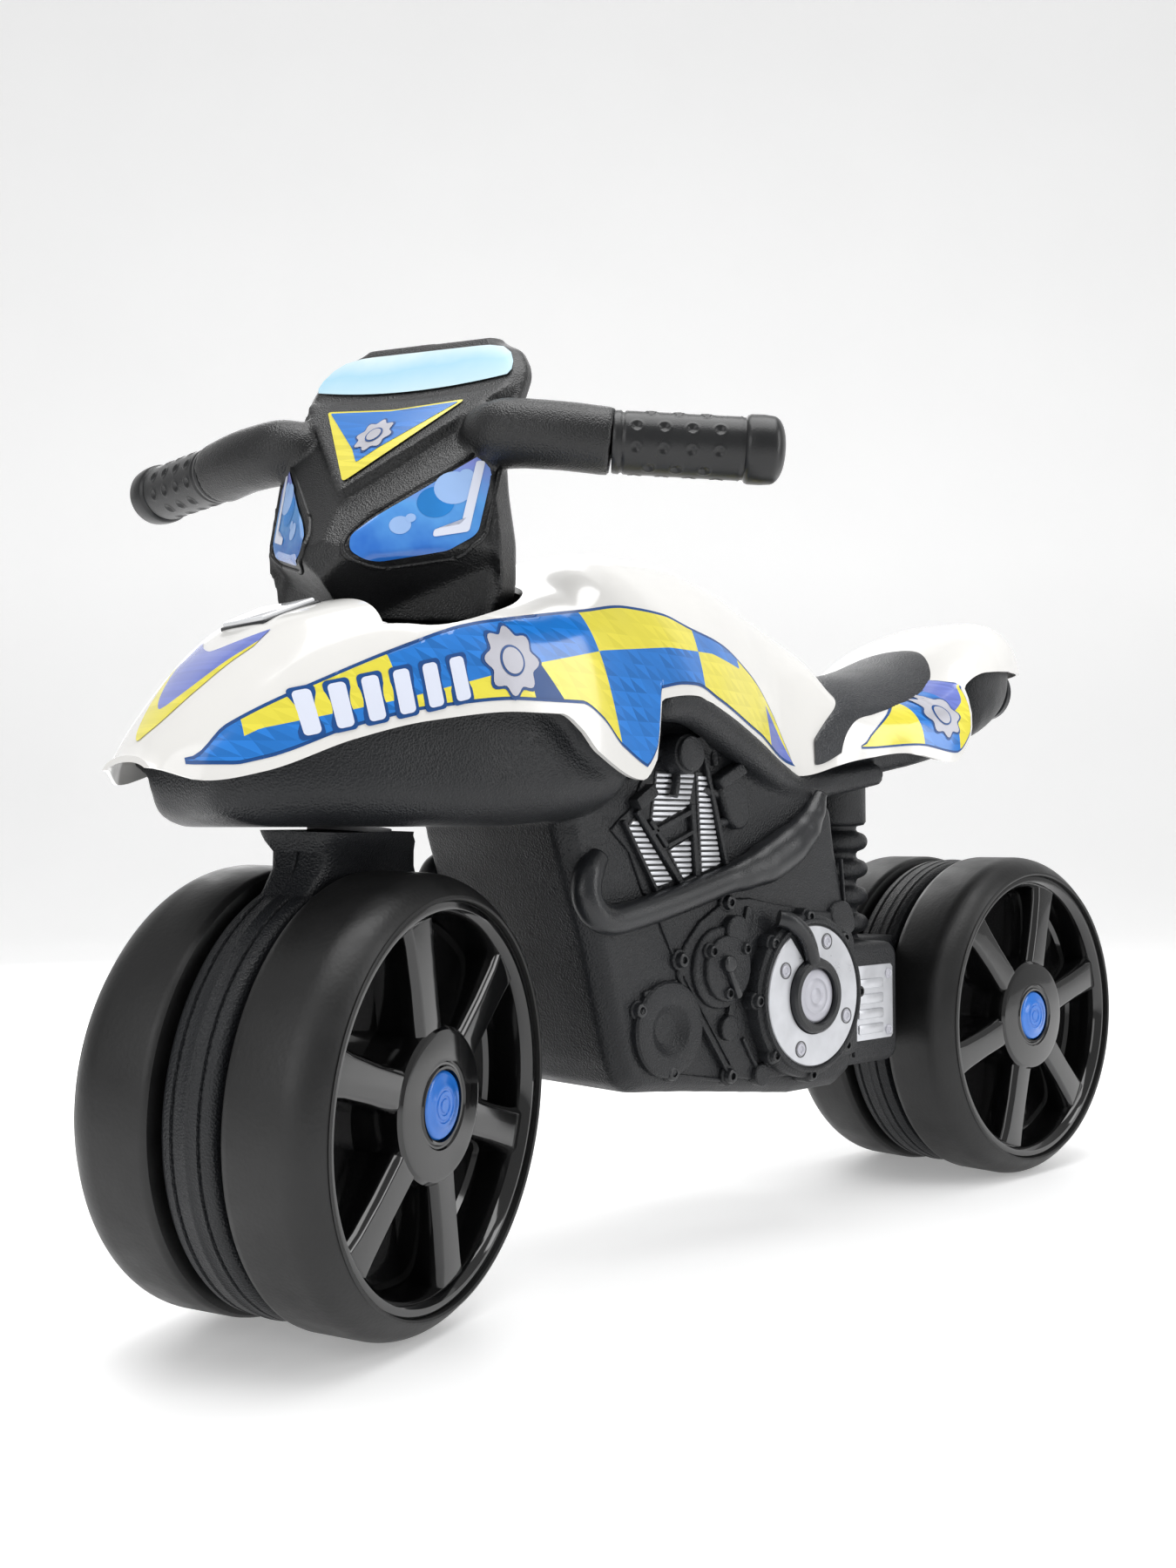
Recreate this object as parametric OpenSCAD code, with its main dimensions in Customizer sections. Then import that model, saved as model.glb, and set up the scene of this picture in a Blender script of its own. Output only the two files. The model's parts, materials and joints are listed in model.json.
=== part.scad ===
// Foot-to-floor ride-on motorcycle for a toddler, with twin wheels front and rear.
// Heights are measured from the floor, lengths from the front axle towards the rear.
// +X is the rider's left, the front wheels point to -Y and +Z is up.

/* [Wheels] */
// Radius of every tyre
wheel_radius = 110; // [104:1:114]
// Distance between the axles with the bar straight
wheelbase = 545.2; // [540:1:560]
// Inner face of a tyre, measured from the centre line
tyre_inner = 19.2; // [18.5:0.1:21]
// Outer edge of a tyre, measured from the centre line
tyre_outer = 69.1; // [68:0.1:71]
// Radius of the rounded tyre shoulder
shoulder_radius = 21.6; // [18:0.1:23]
// Radius of the spoked wheel face
face_radius = 97.4; // [95:0.1:98]
// Width of a spoke
spoke_width = 22; // [16:1:26]
// Number of spokes in a wheel
spoke_count = 6; // [5:1:7]
// Radius of the raised hub
hub_radius = 38; // [32:1:42]
// Radius of the blue hub cap
cap_radius = 16.7; // [15.5:0.1:18]
// Radius of the axle rods
axle_radius = 5; // [4:0.5:6]

/* [Steering] */
// How far the bar is turned to the rider's left at rest
steer_angle = 21.73; // [0:0.01:25]
// Lean of the steering axis towards the rider
steer_rake = 5; // [3:0.5:6]
// Place of the steering axis at axle height
steer_y = 3.5; // [0:0.5:6]
// Radius of the steering shaft
shaft_radius = 9; // [7:0.5:10]
// Radius of the round opening in the cover for the bar column
opening_radius = 79; // [77:0.5:81]
// How far the opening reaches in front of the steering axis
opening_front = 38; // [36:1:40]

/* [Fork and disc] */
// Half thickness of the discs between the twin wheels
disc_half = 14.7; // [12:0.1:16]
// Radius of the discs between the twin wheels
disc_radius = 107.5; // [104:0.5:108]

/* [Handlebar] */
// Radius of the bar
bar_radius = 17; // [15:0.5:18]
// Radius of the grips
grip_radius = 15.7; // [14.5:0.1:16.5]
// Radius of the rounded grip end
grip_end_radius = 17.2; // [16.5:0.1:18]

/* [Shells] */
// Wall thickness of the white cover
cover_wall = 3; // [2:0.5:3.5]
// Half width of the flat engine side
engine_half = 62; // [58:1:64]

/* [Origin] */
// Sideways place of the origin, at the middle of the whole object
origin_x = -19.5; // [-60:0.1:0]
// Lengthwise place of the origin, at the middle of the whole object
origin_y = 266.7; // [200:0.1:300]

/* [Hidden] */
$fn = 64;
axle_z = wheel_radius;
shoulder_x = tyre_outer + 2 - shoulder_radius;
// The turned front axle dips on its low side, so it sits higher by that dip
dip = asin(sin(steer_angle) * sin(steer_rake));
front_z = axle_z + shoulder_x * sin(dip) - (wheel_radius - shoulder_radius) * (1 - cos(dip))
    + steer_y * sin(steer_rake) * cos(steer_rake) * (1 - cos(steer_angle));
bush_clear = 0.08;
label_thick = 1.2;

// Places along the length, then the value there
top_line = [[-107, 274], [-98, 285], [-83, 304], [-65, 323], [-37, 343], [0, 353], [60, 356],
    [95, 366], [120, 382], [150, 392], [196, 394], [240, 389], [287, 375], [329, 354],
    [352, 330], [375, 322], [410, 326], [450, 341], [475, 361], [500, 377], [535, 388],
    [560, 386], [580, 374], [592, 356]];
edge_line = [[-107, 268], [-90, 262], [-70, 266], [-33, 281], [0, 290], [50, 296], [72, 296],
    [84, 289], [95, 278], [126, 265], [137, 276], [143, 307], [176, 311], [199, 304],
    [240, 290], [300, 272], [360, 284], [390, 288], [428, 283], [445, 299], [457, 334],
    [480, 345], [540, 349], [592, 351]];
width_line = [[-107, 25], [-90, 42], [-70, 56], [-40, 70], [0, 84], [50, 94], [100, 98],
    [150, 96], [200, 86], [250, 70], [290, 58], [330, 56], [370, 65], [410, 77], [450, 83],
    [490, 79], [530, 66], [560, 50], [580, 34], [592, 20]];
centre_line = [[-107, 262], [-60, 252], [0, 258], [100, 258], [300, 262], [400, 272],
    [450, 276], [500, 300], [560, 330], [592, 340]];
power_line = [[-107, 2.2], [-60, 2.8], [0, 4.6], [80, 4.6], [130, 3.2], [200, 2.6],
    [300, 2.5], [380, 4], [450, 4], [540, 3.2], [592, 2.4]];
under_line = [[-80, 258], [-76, 249], [-54, 242], [60, 242], [110, 246], [160, 262],
    [320, 262], [350, 266], [400, 276], [450, 288], [500, 303], [540, 318], [575, 334],
    [588, 342]];
under_width = [[-80, 30], [-70, 44], [-40, 60], [0, 72], [60, 82], [110, 84], [136, 78],
    [150, 60], [200, 58], [300, 52], [350, 48], [400, 58], [450, 66], [500, 62], [540, 50],
    [575, 28], [588, 14]];
belly_z = 84;
body_front = -80;
body_rear = 588;
engine_side = [[156, 99], [147, 104], [141, 118], [125, 178], [112, 216], [104, 240],
    [104, 300], [215, 300], [330, 256], [334, 230], [350, 172], [350, 92], [335, belly_z],
    [290, belly_z], [198, 95]];

// ---- helper functions ----

// Index of the table row at or before the place y
function row(table, y, i = 0) =
    (i >= len(table) - 2 || y < table[i + 1][0]) ? i : row(table, y, i + 1);
function step_between(a, b) = (b[1] - a[1]) / (b[0] - a[0]);
// A slope that keeps the curve from overshooting its own points
function slope(table, i) =
    (i <= 0 || i >= len(table) - 1) ? 0 :
    let (before = step_between(table[i - 1], table[i]), after = step_between(table[i], table[i + 1]))
    before * after <= 0 ? 0 : 2 * before * after / (before + after);
// Smooth value of a table at the place y
function smooth(table, y) =
    let (i = row(table, y), a = table[i], b = table[i + 1], d = b[0] - a[0],
        t = min(max((y - a[0]) / d, 0), 1), s = t * t * (3 - 2 * t))
    a[1] + (b[1] - a[1]) * s
        + d * t * (1 - t) * ((1 - t) * slope(table, i) - t * slope(table, i + 1));
function spread(from, to, steps) = [for (i = [0:steps]) from + (to - from) * i / steps];

// Half width, centre height, dome height and squareness of the cover's outside at y
function dome(y, inset = 0) =
    let (zc = smooth(centre_line, y))
    [smooth(width_line, y) - inset, zc, smooth(top_line, y) - inset - zc, smooth(power_line, y)];
// A point of the dome, at 0 on the left side, 90 on the top, 180 on the right side
function dome_point(d, a) =
    [d[0] * sign(cos(a)) * pow(abs(cos(a)), 2 / d[3]), d[1] + d[2] * pow(sin(a), 2 / d[3])];
// The angle where the dome reaches the height z
function dome_start(d, z) = asin(pow(min(max((z - d[1]) / d[2], 0), 0.98), d[3] / 2));

// ---- helper modules ----

// Closed skin through rings that all have the same number of points; a hollow ring runs out
// along one side and back along the other, so its ends are closed by a strip
module skin(rings, hollow = false) {
    n = len(rings[0]);
    last = len(rings) - 1;
    sides = [for (i = [0:last - 1]) for (j = [0:n - 1])
        let (a = i * n + j, b = i * n + (j + 1) % n)
        each [[a, b, b + n], [a, b + n, a + n]]];
    first_cap = hollow ? [for (j = [0:n / 2 - 2]) each [[n - 1 - j, j + 1, j], [n - 1 - j, n - 2 - j, j + 1]]]
        : [[for (j = [n - 1:-1:0]) j]];
    last_cap = [for (f = first_cap) [for (k = [len(f) - 1:-1:0]) last * n + f[k]]];
    polyhedron(points = [for (ring = rings) each ring], faces = concat(first_cap, sides, last_cap));
}
// Straight rod between two points
module rod(a, b, r, r2 = -1) {
    v = b - a;
    translate(a)
        rotate([0, acos(v[2] / norm(v)), atan2(v[1], v[0])])
            cylinder(h = norm(v), r1 = r, r2 = r2 < 0 ? r : r2);
}
// Moves everything from the front axle's frame to the object's own origin
module place() {
    translate([-origin_x, -origin_y, 0]) children();
}
// Turns the steered pieces to their rest angle
module steered() {
    place()
        translate([0, steer_y, front_z])
            rotate(a = steer_angle, v = [0, sin(steer_rake), cos(steer_rake)])
                translate([0, -steer_y, -front_z]) children();
}
// Local +Z runs up the steering axis from axle height
module on_axis() {
    translate([0, steer_y, front_z]) rotate([-steer_rake, 0, 0]) children();
}
// Local +Z points away from the engine side, local +X to the rear, local +Y up
module on_side(side, y, z) {
    if (side > 0) translate([engine_half, y, z]) rotate([90, 0, 90]) children();
    else mirror([1, 0, 0]) translate([engine_half, y, z]) rotate([90, 0, 90]) children();
}

// ---- shells ----

cover_steps = 52;
cover_arc = 20;
// One ring of the cover: over the outside, back along the inside
function cover_ring(y) =
    let (out = dome(y), inn = dome(y, cover_wall), edge = smooth(edge_line, y),
        a = dome_start(out, edge), b = dome_start(inn, edge))
    concat([for (t = spread(a, 180 - a, cover_arc)) let (p = dome_point(out, t)) [p[0], y, p[1]]],
        [for (t = spread(180 - b, b, cover_arc)) let (p = dome_point(inn, t)) [p[0], y, p[1]]]);
module top_cover() {
    color("white") place() difference() {
        skin([for (y = spread(-107, 590, cover_steps)) cover_ring(y)], hollow = true);
        on_axis() translate([0, 0, 200]) intersection() {
            cylinder(h = 100, r = opening_radius);
            translate([-opening_radius, -opening_front, 0]) cube([2 * opening_radius, 150, 100]);
        }
    }
}

// Half of a body section, from the underside to the top
body_gap = 5.5;
body_under_steps = 6;
body_over_steps = 9;
function body_half(y) =
    let (d = dome(y, body_gap + max(0, 3 - abs(y - 460) / 10)), zb = smooth(under_line, y),
        edge = max(smooth(edge_line, y) + 2, zb + 6), a = dome_start(d, edge + 6),
        wl = min(smooth(under_width, y), dome_point(d, a)[0]))
    concat(
        [for (t = spread(0, 90, body_under_steps))
            [wl * (1 - 0.35 * (1 - sin(t))), zb + min(edge - zb, 22) * (1 - cos(t))]],
        [[wl, edge]],
        [for (t = spread(a, 86, body_over_steps)) dome_point(d, t)]);
function body_ring(y) =
    let (half = body_half(y))
    concat([for (p = half) [p[0], y, p[1]]],
        [for (i = [len(half) - 1:-1:0]) [-half[i][0], y, half[i][1]]]);
module engine_block() {
    bevel = 9;
    centre = [235, 180];
    hull() {
        translate([-engine_half + bevel, 0, 0]) rotate([90, 0, 90])
            linear_extrude(2 * (engine_half - bevel)) polygon(engine_side);
        translate([-engine_half, 0, 0]) rotate([90, 0, 90])
            linear_extrude(2 * engine_half) polygon([for (p = engine_side)
                centre + (p - centre) * 0.93]);
    }
}
module main_body() {
    color([0.12, 0.14, 0.16]) place() difference() {
        union() {
            skin([for (y = spread(body_front, body_rear, 56)) body_ring(y)]);
            engine_block();
        }
        on_axis() translate([0, 0, well_floor]) cylinder(h = 120, r = 93);
        on_axis() translate([0, 0, 100]) cylinder(h = 200, r = bush_radius);
        on_axis() translate([0, 0, 100]) cylinder(h = crown_top + 5 - 100, r = flange_radius + 0.3);
    }
}
module seat_pad() {
    half = 57;
    steps = 12;
    color([0.17, 0.18, 0.2]) place()
        skin([for (x = spread(-half, half, 20))
            let (k = abs(x) / half, front = 352 - 36 * pow(k, 1.3), rear = 494 - 42 * pow(k, 2.2),
                long = rear - front, drop = 24 * pow(k, 3))
            concat(
                [for (t = spread(0, 1, steps)) [x, front + long * t,
                    seat_top(front + long * t) - drop - 10 * pow(abs(2 * t - 1), 6)]],
                [for (t = spread(1, 0, steps)) [x, front + long * t,
                    seat_top(front + long * t) - drop - 24]])]);
}
function seat_top(y) = smooth([[316, 327], [352, 338], [400, 343], [440, 352], [480, 368], [500, 376]], y);

// ---- trim on the shells ----

module nose_badge() {
    slant = 42;
    color("white") place() translate([0, -54, 329]) rotate([slant, 0, 0]) hull()
        for (x = [-1, 1]) {
            translate([x * 16, 2, 0]) cylinder(h = 6, r = 4, $fn = 24);
            translate([x * 21, 30, 0]) cylinder(h = 6, r = 4, $fn = 24);
        }
}
module tail_lamp() {
    color([0.08, 0.08, 0.09]) place() translate([0, body_rear, 342]) rotate([-90, 0, 0]) {
        cylinder(h = 4, r = 10);
        translate([0, 0, 2.5]) cylinder(h = 7, r = 20);
        translate([0, 0, 2.5]) cylinder(h = 13.5, r = 15);
    }
}
module shock_absorber() {
    ring_radius = 24;
    base = gearbox_top;
    color([0.12, 0.14, 0.16]) place() translate([0, 404, base]) {
        cylinder(h = 74, r = 18);
        for (i = [0:3]) translate([0, 0, 10 + 18 * i])
            rotate_extrude() translate([ring_radius - 6, 0]) circle(r = 6, $fn = 32);
        translate([0, 0, 74]) cylinder(h = 37, r = 23);
    }
}

// ---- engine side ----

module clutch_cover(side) {
    color([0.12, 0.14, 0.16]) place() on_side(side, 290, 143) {
        cylinder(h = 11, r = 47);
        cylinder(h = 13, r = 43);
        for (a = [20:45:340]) rotate(a) translate([47, 0, 0]) cylinder(h = 12, r = 4, $fn = 32);
        translate([0, 0, 13]) difference() {
            cylinder(h = 4, r = 21);
            translate([0, 0, -1]) cylinder(h = 6, r = 16.2);
        }
        rod([-24, 40, 9], [-3, 20, 13], 5);
    }
}
module clutch_label(side) {
    color("silver") place() on_side(side, 290, 143) translate([0, 0, 13]) {
        difference() {
            cylinder(h = label_thick, r = 40);
            translate([0, 0, -1]) cylinder(h = 4, r = 22);
            hull() for (p = [[-3, 20], [-29, 45]]) translate([p[0], p[1], -1]) cylinder(h = 4, r = 7);
        }
        cylinder(h = 3, r = 16);
    }
}
module ignition_cover(side) {
    color([0.12, 0.14, 0.16]) place() on_side(side, 225, 163) difference() {
        union() {
            cylinder(h = 6, r = 23);
            cylinder(h = 9, r = 18);
            translate([5, 20, 0]) cylinder(h = 7, r = 9);
            for (a = [80, 170, 300]) rotate(a) translate([17, 0, 0]) cylinder(h = 10, r = 3, $fn = 32);
            hull() {
                cylinder(h = 12, r = 4.5, $fn = 32);
                translate([9, -20, 0]) cylinder(h = 11, r = 3.5, $fn = 32);
            }
        }
        translate([65, -20, -1]) cylinder(h = 20, r = 52);
    }
}
module alternator_cover(side) {
    color([0.12, 0.14, 0.16]) place() on_side(side, 184, 130) difference() {
        union() {
            cylinder(h = 5, r = 26);
            for (a = [150, 265]) rotate(a) translate([27, 0, 0]) cylinder(h = 6, r = 3.5, $fn = 32);
        }
        translate([0, 0, 1]) cylinder(h = 6, r1 = 6, r2 = 14);
    }
}
module gearbox_label(side) {
    long = 36;
    high = 47;
    x = gearbox_half;
    color("silver") place() mirror([side > 0 ? 0 : 1, 0, 0])
        translate([x, 364, 107]) difference() {
            cube([3, long, high]);
            for (i = [0:3]) translate([2, -1, 8 + 9 * i]) cube([2, long - 8, 2.4]);
        }
}
module cylinder_head(side) {
    outline = [[138, 216], [150, 262], [176, 282], [206, 284], [224, 226], [184, 214]];
    window = [[148, 222], [160, 258], [178, 271], [198, 272], [212, 228], [182, 219]];
    color("silver") place() on_side(side, 0, 0) {
        difference() {
            linear_extrude(4) polygon(outline);
            for (i = [0:12]) translate([150, 218 + 4.6 * i, 3]) cube([54, 1.8, 2]);
        }
        linear_extrude(6) difference() {
            polygon(outline);
            polygon(window);
        }
    }
}
module breather(side) {
    color([0.12, 0.14, 0.16]) place() on_side(side, 243, 252) {
        hull() {
            translate([-9, 8, 0]) cube([18, 8, 7]);
            translate([1, -14, 0]) cylinder(h = 7, r = 8, $fn = 32);
        }
        translate([-11, 14, 0]) cube([22, 8, 9]);
    }
}
// Rows of place along the length, height, distance from the side and radius
exhaust_run = [[128, 226, 0, 6], [119, 217, 2, 8], [116, 206, 4, 8], [121, 197, 5, 8],
    [132, 193, 5, 8], [150, 195, 5, 8], [184, 202, 5, 8], [220, 211, 5, 8], [240, 216, 6, 10],
    [256, 221, 6, 12], [274, 229, 6, 12], [290, 238, 5, 10], [303, 249, 3, 7], [313, 261, 1, 4]];
exhaust_sides = 14;
function exhaust_ring(i) =
    let (p = exhaust_run[i], before = exhaust_run[max(i - 1, 0)],
        after = exhaust_run[min(i + 1, len(exhaust_run) - 1)],
        d = [after[0] - before[0], after[1] - before[1]], n = [-d[1], d[0]] / norm(d))
    [for (k = [0:exhaust_sides - 1]) let (a = -k * 360 / exhaust_sides)
        [p[0] + n[0] * p[3] * cos(a), p[1] + n[1] * p[3] * cos(a), max(p[2] + p[3] * sin(a), 0)]];
module exhaust(side) {
    color([0.12, 0.14, 0.16]) place() on_side(side, 0, 0)
        skin([for (i = [0:len(exhaust_run) - 1]) exhaust_ring(i)]);
}

// ---- rear fork and axles ----

gearbox_half = 49;
gearbox_top = 168;
module rear_fork() {
    color([0.12, 0.14, 0.16]) place() difference() {
        union() {
            translate([-gearbox_half, 350, 92]) cube([2 * gearbox_half, 60, gearbox_top - 92]);
            translate([-disc_half, 400, 92]) cube([2 * disc_half, 90, gearbox_top - 92]);
            translate([-disc_half, wheelbase, axle_z]) rotate([0, 90, 0])
                cylinder(h = 2 * disc_half, r = disc_radius);
            translate([-disc_half - 3, wheelbase, axle_z]) rotate([0, 90, 0])
                cylinder(h = 2 * disc_half + 6, r = 20);
        }
        translate([-60, wheelbase, axle_z]) rotate([0, 90, 0]) cylinder(h = 120, r = axle_radius);
    }
}
clip_x = 59;
module axle(y, z) {
    translate([-clip_x - 3, y, z]) rotate([0, 90, 0]) cylinder(h = 2 * clip_x + 6, r = axle_radius);
}
module axle_clips(y, z) {
    for (x = [-clip_x - 1.5, clip_x]) translate([x, y, z]) rotate([0, 90, 0]) difference() {
        cylinder(h = 1.5, r = 10);
        translate([0, 0, -1]) cylinder(h = 4, r = axle_radius);
    }
}
module rear_axle() {
    color("silver") place() axle(wheelbase, axle_z);
}
module rear_axle_clips() {
    color("silver") place() axle_clips(wheelbase, axle_z);
}
module front_axle() {
    color("silver") steered() axle(0, front_z);
}
module front_axle_clips() {
    color("silver") steered() axle_clips(0, front_z);
}

// ---- steering ----

crown_top = 126;
well_floor = 222;
bush_radius = 15;
flange_radius = 21;
collar_base = well_floor + 3.5;
mask_base = collar_base + 10;
module steering_bush(base, flange_base) {
    difference() {
        union() {
            translate([0, 0, base]) cylinder(h = 26, r = bush_radius);
            translate([0, 0, flange_base]) cylinder(h = 3, r = flange_radius);
        }
        translate([0, 0, base - 10]) cylinder(h = 60, r = shaft_radius + bush_clear);
    }
}
module steering_bush_lower() {
    color("gray") place() on_axis() steering_bush(crown_top + 5, crown_top + 2);
}
module steering_bush_upper() {
    color("gray") place() on_axis() steering_bush(well_floor - 26, well_floor);
}
module steering_shaft() {
    color("silver") steered() on_axis() translate([0, 0, 100]) cylinder(h = 180, r = shaft_radius);
}
module steering_collar() {
    color("silver") steered() on_axis() translate([0, 0, collar_base]) difference() {
        cylinder(h = 8, r = 17);
        translate([0, 0, -1]) cylinder(h = 10, r = shaft_radius);
    }
}
module front_fork() {
    neck = [[-78, 182], [-50, 203], [-32, 222], [-26, 236], [50, 236], [56, 222], [72, 200], [92, 172]];
    color([0.12, 0.14, 0.16]) steered() difference() {
        union() {
            translate([-disc_half, 0, front_z]) rotate([0, 90, 0])
                cylinder(h = 2 * disc_half, r = disc_radius);
            translate([-disc_half - 3, 0, front_z]) rotate([0, 90, 0])
                cylinder(h = 2 * disc_half + 6, r = 20);
            intersection() {
                translate([-disc_half, 0, 0]) rotate([90, 0, 90]) linear_extrude(2 * disc_half) polygon(neck);
                on_axis() translate([-50, -100, 0]) cube([100, 200, crown_top]);
            }
            on_axis() translate([-25, -32, crown_top - 9]) cube([50, 72, 9]);
        }
        translate([-60, 0, front_z]) rotate([0, 90, 0]) cylinder(h = 120, r = axle_radius);
        on_axis() translate([0, 0, 100]) cylinder(h = 60, r = shaft_radius);
    }
}

// ---- handlebar with its mask ----

// Height, half width, centre front, side front and back of the mask
mask_rows = [[345, 62, 14, 42, 84], [363, 68, 7, 42, 86], [383, 70, -14, 36, 86],
    [405, 67, -4, 36, 84], [418, 65, 5, 38, 82], [441, 63, 28, 44, 80], [459, 66, 49, 58, 84],
    [475, 66, 62, 68, 92], [492, 58, 72, 78, 98], [503, 42, 82, 86, 98]];
function mask_value(z, column) = smooth([for (r = mask_rows) [r[0], r[column]]], z);
function mask_ring(z) =
    let (w = mask_value(z, 1), front = mask_value(z, 2), side = mask_value(z, 3), back = mask_value(z, 4))
    concat(
        [for (t = spread(1, -1, 12)) [w * t, front + (side - front) * pow(abs(t), 1.25), z]],
        [for (a = spread(168, 12, 8)) [w * cos(a), side + (back - side) * pow(sin(a), 0.6), z]]);
grip_start = [120, 59, 436];
grip_stop = [182, 86.8, 433.6];
grip_tip = [198, 94, 433];
core_radius = 11;
// Rows of place and radius along half of the bar, with a thinner core inside the grip
bar_run = [[30, 39, 440, 12], [46, 39, 441, 18], [62, 41, 441, 18], [78, 44, 440.5, 17], [98, 50, 438.5, 17],
    [119.5, 58.8, 436, bar_radius], [120, 59, 436, core_radius], [176, 84.1, 433.8, core_radius]];
bar_sides = 18;
function bar_ring(i) =
    let (p = bar_run[i], before = bar_run[max(i - 1, 0)], after = bar_run[min(i + 1, len(bar_run) - 1)],
        d = [after[0] - before[0], after[1] - before[1]], n = [-d[1], d[0]] / norm(d))
    [for (k = [0:bar_sides - 1]) let (a = -k * 360 / bar_sides)
        [p[0] + n[0] * p[3] * cos(a), p[1] + n[1] * p[3] * cos(a), p[2] + p[3] * sin(a)]];
module bar_half() {
    skin([for (i = [0:len(bar_run) - 1]) bar_ring(i)]);
}
mask_heights = [345, 354, 363, 372, 383, 394, 405, 418, 430, 441, 450, 459, 467, 475, 484, 492, 498, 503];
module handlebar() {
    color([0.1, 0.1, 0.11]) steered() difference() {
        union() {
            skin([for (z = mask_heights) mask_ring(z)]);
            bar_half();
            mirror([1, 0, 0]) bar_half();
        }
        on_axis() translate([0, 0, 200]) cylinder(h = 80, r = shaft_radius);
        on_axis() translate([-100, -100, 200]) cube([200, 200, mask_base - 200]);
    }
}
module grip() {
    v = grip_tip - grip_start;
    long = norm(v);
    sleeve = norm(grip_stop - grip_start);
    translate(grip_start) rotate([0, acos(v[2] / long), atan2(v[1], v[0])]) rotate_extrude()
        polygon([[core_radius, 0], [grip_radius, 0], [grip_radius, sleeve - 2], [grip_end_radius, sleeve],
            [grip_end_radius, long - 7], [grip_end_radius - 2, long - 3], [grip_end_radius - 6, long],
            [0, long], [0, sleeve], [core_radius, sleeve]]);
}
module grip_left() {
    color([0.1, 0.1, 0.11]) steered() grip();
}
module grip_right() {
    color([0.1, 0.1, 0.11]) steered() mirror([1, 0, 0]) grip();
}
module visor_label() {
    color("lightblue") steered() translate([0, 62.5, 475]) rotate([56, 0, 0])
        linear_extrude(label_thick) polygon([[-60, 2], [0, -4], [60, 2], [46, 26], [-46, 26]]);
}
module mask_label() {
    color([0.05, 0.44, 0.76]) steered() translate([0, 50, 461]) rotate([46, 0, 0])
        linear_extrude(label_thick) polygon([[-40, 0], [0, -5], [40, 0], [0, -62]]);
}
module headlamp_label() {
    face = [[60, 40, 431], [61, 30, 390], [19, -9, 373], [16, -8, 388]];
    out = [1.2, -1.4, 0.2];
    back = [-1.5, 1.8, 0];
    hull() polyhedron(
        points = concat([for (p = face) p + out], [for (p = face) p + back]),
        faces = [[0, 1, 2, 3], [7, 6, 5, 4], [1, 0, 4, 5], [2, 1, 5, 6], [3, 2, 6, 7], [0, 3, 7, 4]]);
}
module headlamp_label_left() {
    color([0.2, 0.45, 0.85]) steered() headlamp_label();
}
module headlamp_label_right() {
    color([0.2, 0.45, 0.85]) steered() mirror([1, 0, 0]) headlamp_label();
}

// ---- wheels ----

bush_wall = 11;
wall = 4;
back_wall = 38;
face_out = 66.3;
cap_seat = 62.5;
// Turns a profile drawn as [radius, distance from the centre line] into a left wheel piece
module on_axle() {
    rotate([0, 90, 0]) children();
}
module tyre() {
    centre = [wheel_radius - shoulder_radius, shoulder_x];
    shoulder = [for (a = spread(90, 25, 8)) centre + shoulder_radius * [sin(a), cos(a)]];
    on_axle() rotate_extrude($fn = 96) polygon(concat(
        [[bush_wall, tyre_inner], [wheel_radius - 4, tyre_inner], [wheel_radius - 1, tyre_inner + 1],
            [wheel_radius, tyre_inner + 4]],
        shoulder,
        [[face_radius, tyre_outer], [face_radius, tyre_inner + wall], [bush_wall, tyre_inner + wall]]));
}
module wheel_face(turn) {
    on_axle() rotate([0, 0, turn]) difference() {
        union() {
            rotate_extrude($fn = 96) polygon([[bush_wall, back_wall], [face_radius, back_wall],
                [face_radius, face_out], [face_radius - 9, face_out - 1], [face_radius - 10, back_wall + 3],
                [hub_radius, back_wall + 3], [hub_radius - 3, face_out], [bush_wall, face_out]]);
            for (i = [0:spoke_count - 1]) rotate(i * 360 / spoke_count)
                translate([hub_radius - 6, -spoke_width / 2, back_wall])
                    cube([face_radius - hub_radius, spoke_width, face_out - 3 - back_wall]);
        }
        translate([0, 0, clip_x - 2]) cylinder(h = 20, r = 14);
        translate([0, 0, cap_seat]) cylinder(h = 20, r = cap_radius);
    }
}
module hub_cap() {
    on_axle() {
        translate([0, 0, cap_seat]) cylinder(h = face_out - cap_seat, r = cap_radius);
        translate([0, 0, face_out]) difference() {
            cylinder(h = 0.6, r = 12);
            translate([0, 0, -1]) cylinder(h = 3, r = 9);
        }
    }
}
module wheel_bush() {
    on_axle() translate([0, 0, tyre_inner]) difference() {
        cylinder(h = clip_x - 2.5 - tyre_inner, r = bush_wall);
        translate([0, 0, -1]) cylinder(h = 60, r = axle_radius + bush_clear);
    }
}
// Puts a left wheel piece on an axle, on the given side
module at_wheel(side, y) {
    translate([0, y, y > 0 ? axle_z : front_z]) mirror([side > 0 ? 0 : 1, 0, 0]) children();
}
front_turn = 18;
rear_turn = 15;
module front_tyre_left() { color([0.07, 0.07, 0.07]) steered() at_wheel(1, 0) tyre(); }
module front_tyre_right() { color([0.07, 0.07, 0.07]) steered() at_wheel(-1, 0) tyre(); }
module front_wheel_face_left() { color([0.04, 0.04, 0.05]) steered() at_wheel(1, 0) wheel_face(front_turn); }
module front_wheel_face_right() { color([0.04, 0.04, 0.05]) steered() at_wheel(-1, 0) wheel_face(front_turn); }
module front_hub_cap_left() { color([0.1, 0.35, 0.75]) steered() at_wheel(1, 0) hub_cap(); }
module front_hub_cap_right() { color([0.1, 0.35, 0.75]) steered() at_wheel(-1, 0) hub_cap(); }
module front_wheel_bush_left() { color("gray") steered() at_wheel(1, 0) wheel_bush(); }
module front_wheel_bush_right() { color("gray") steered() at_wheel(-1, 0) wheel_bush(); }
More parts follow.
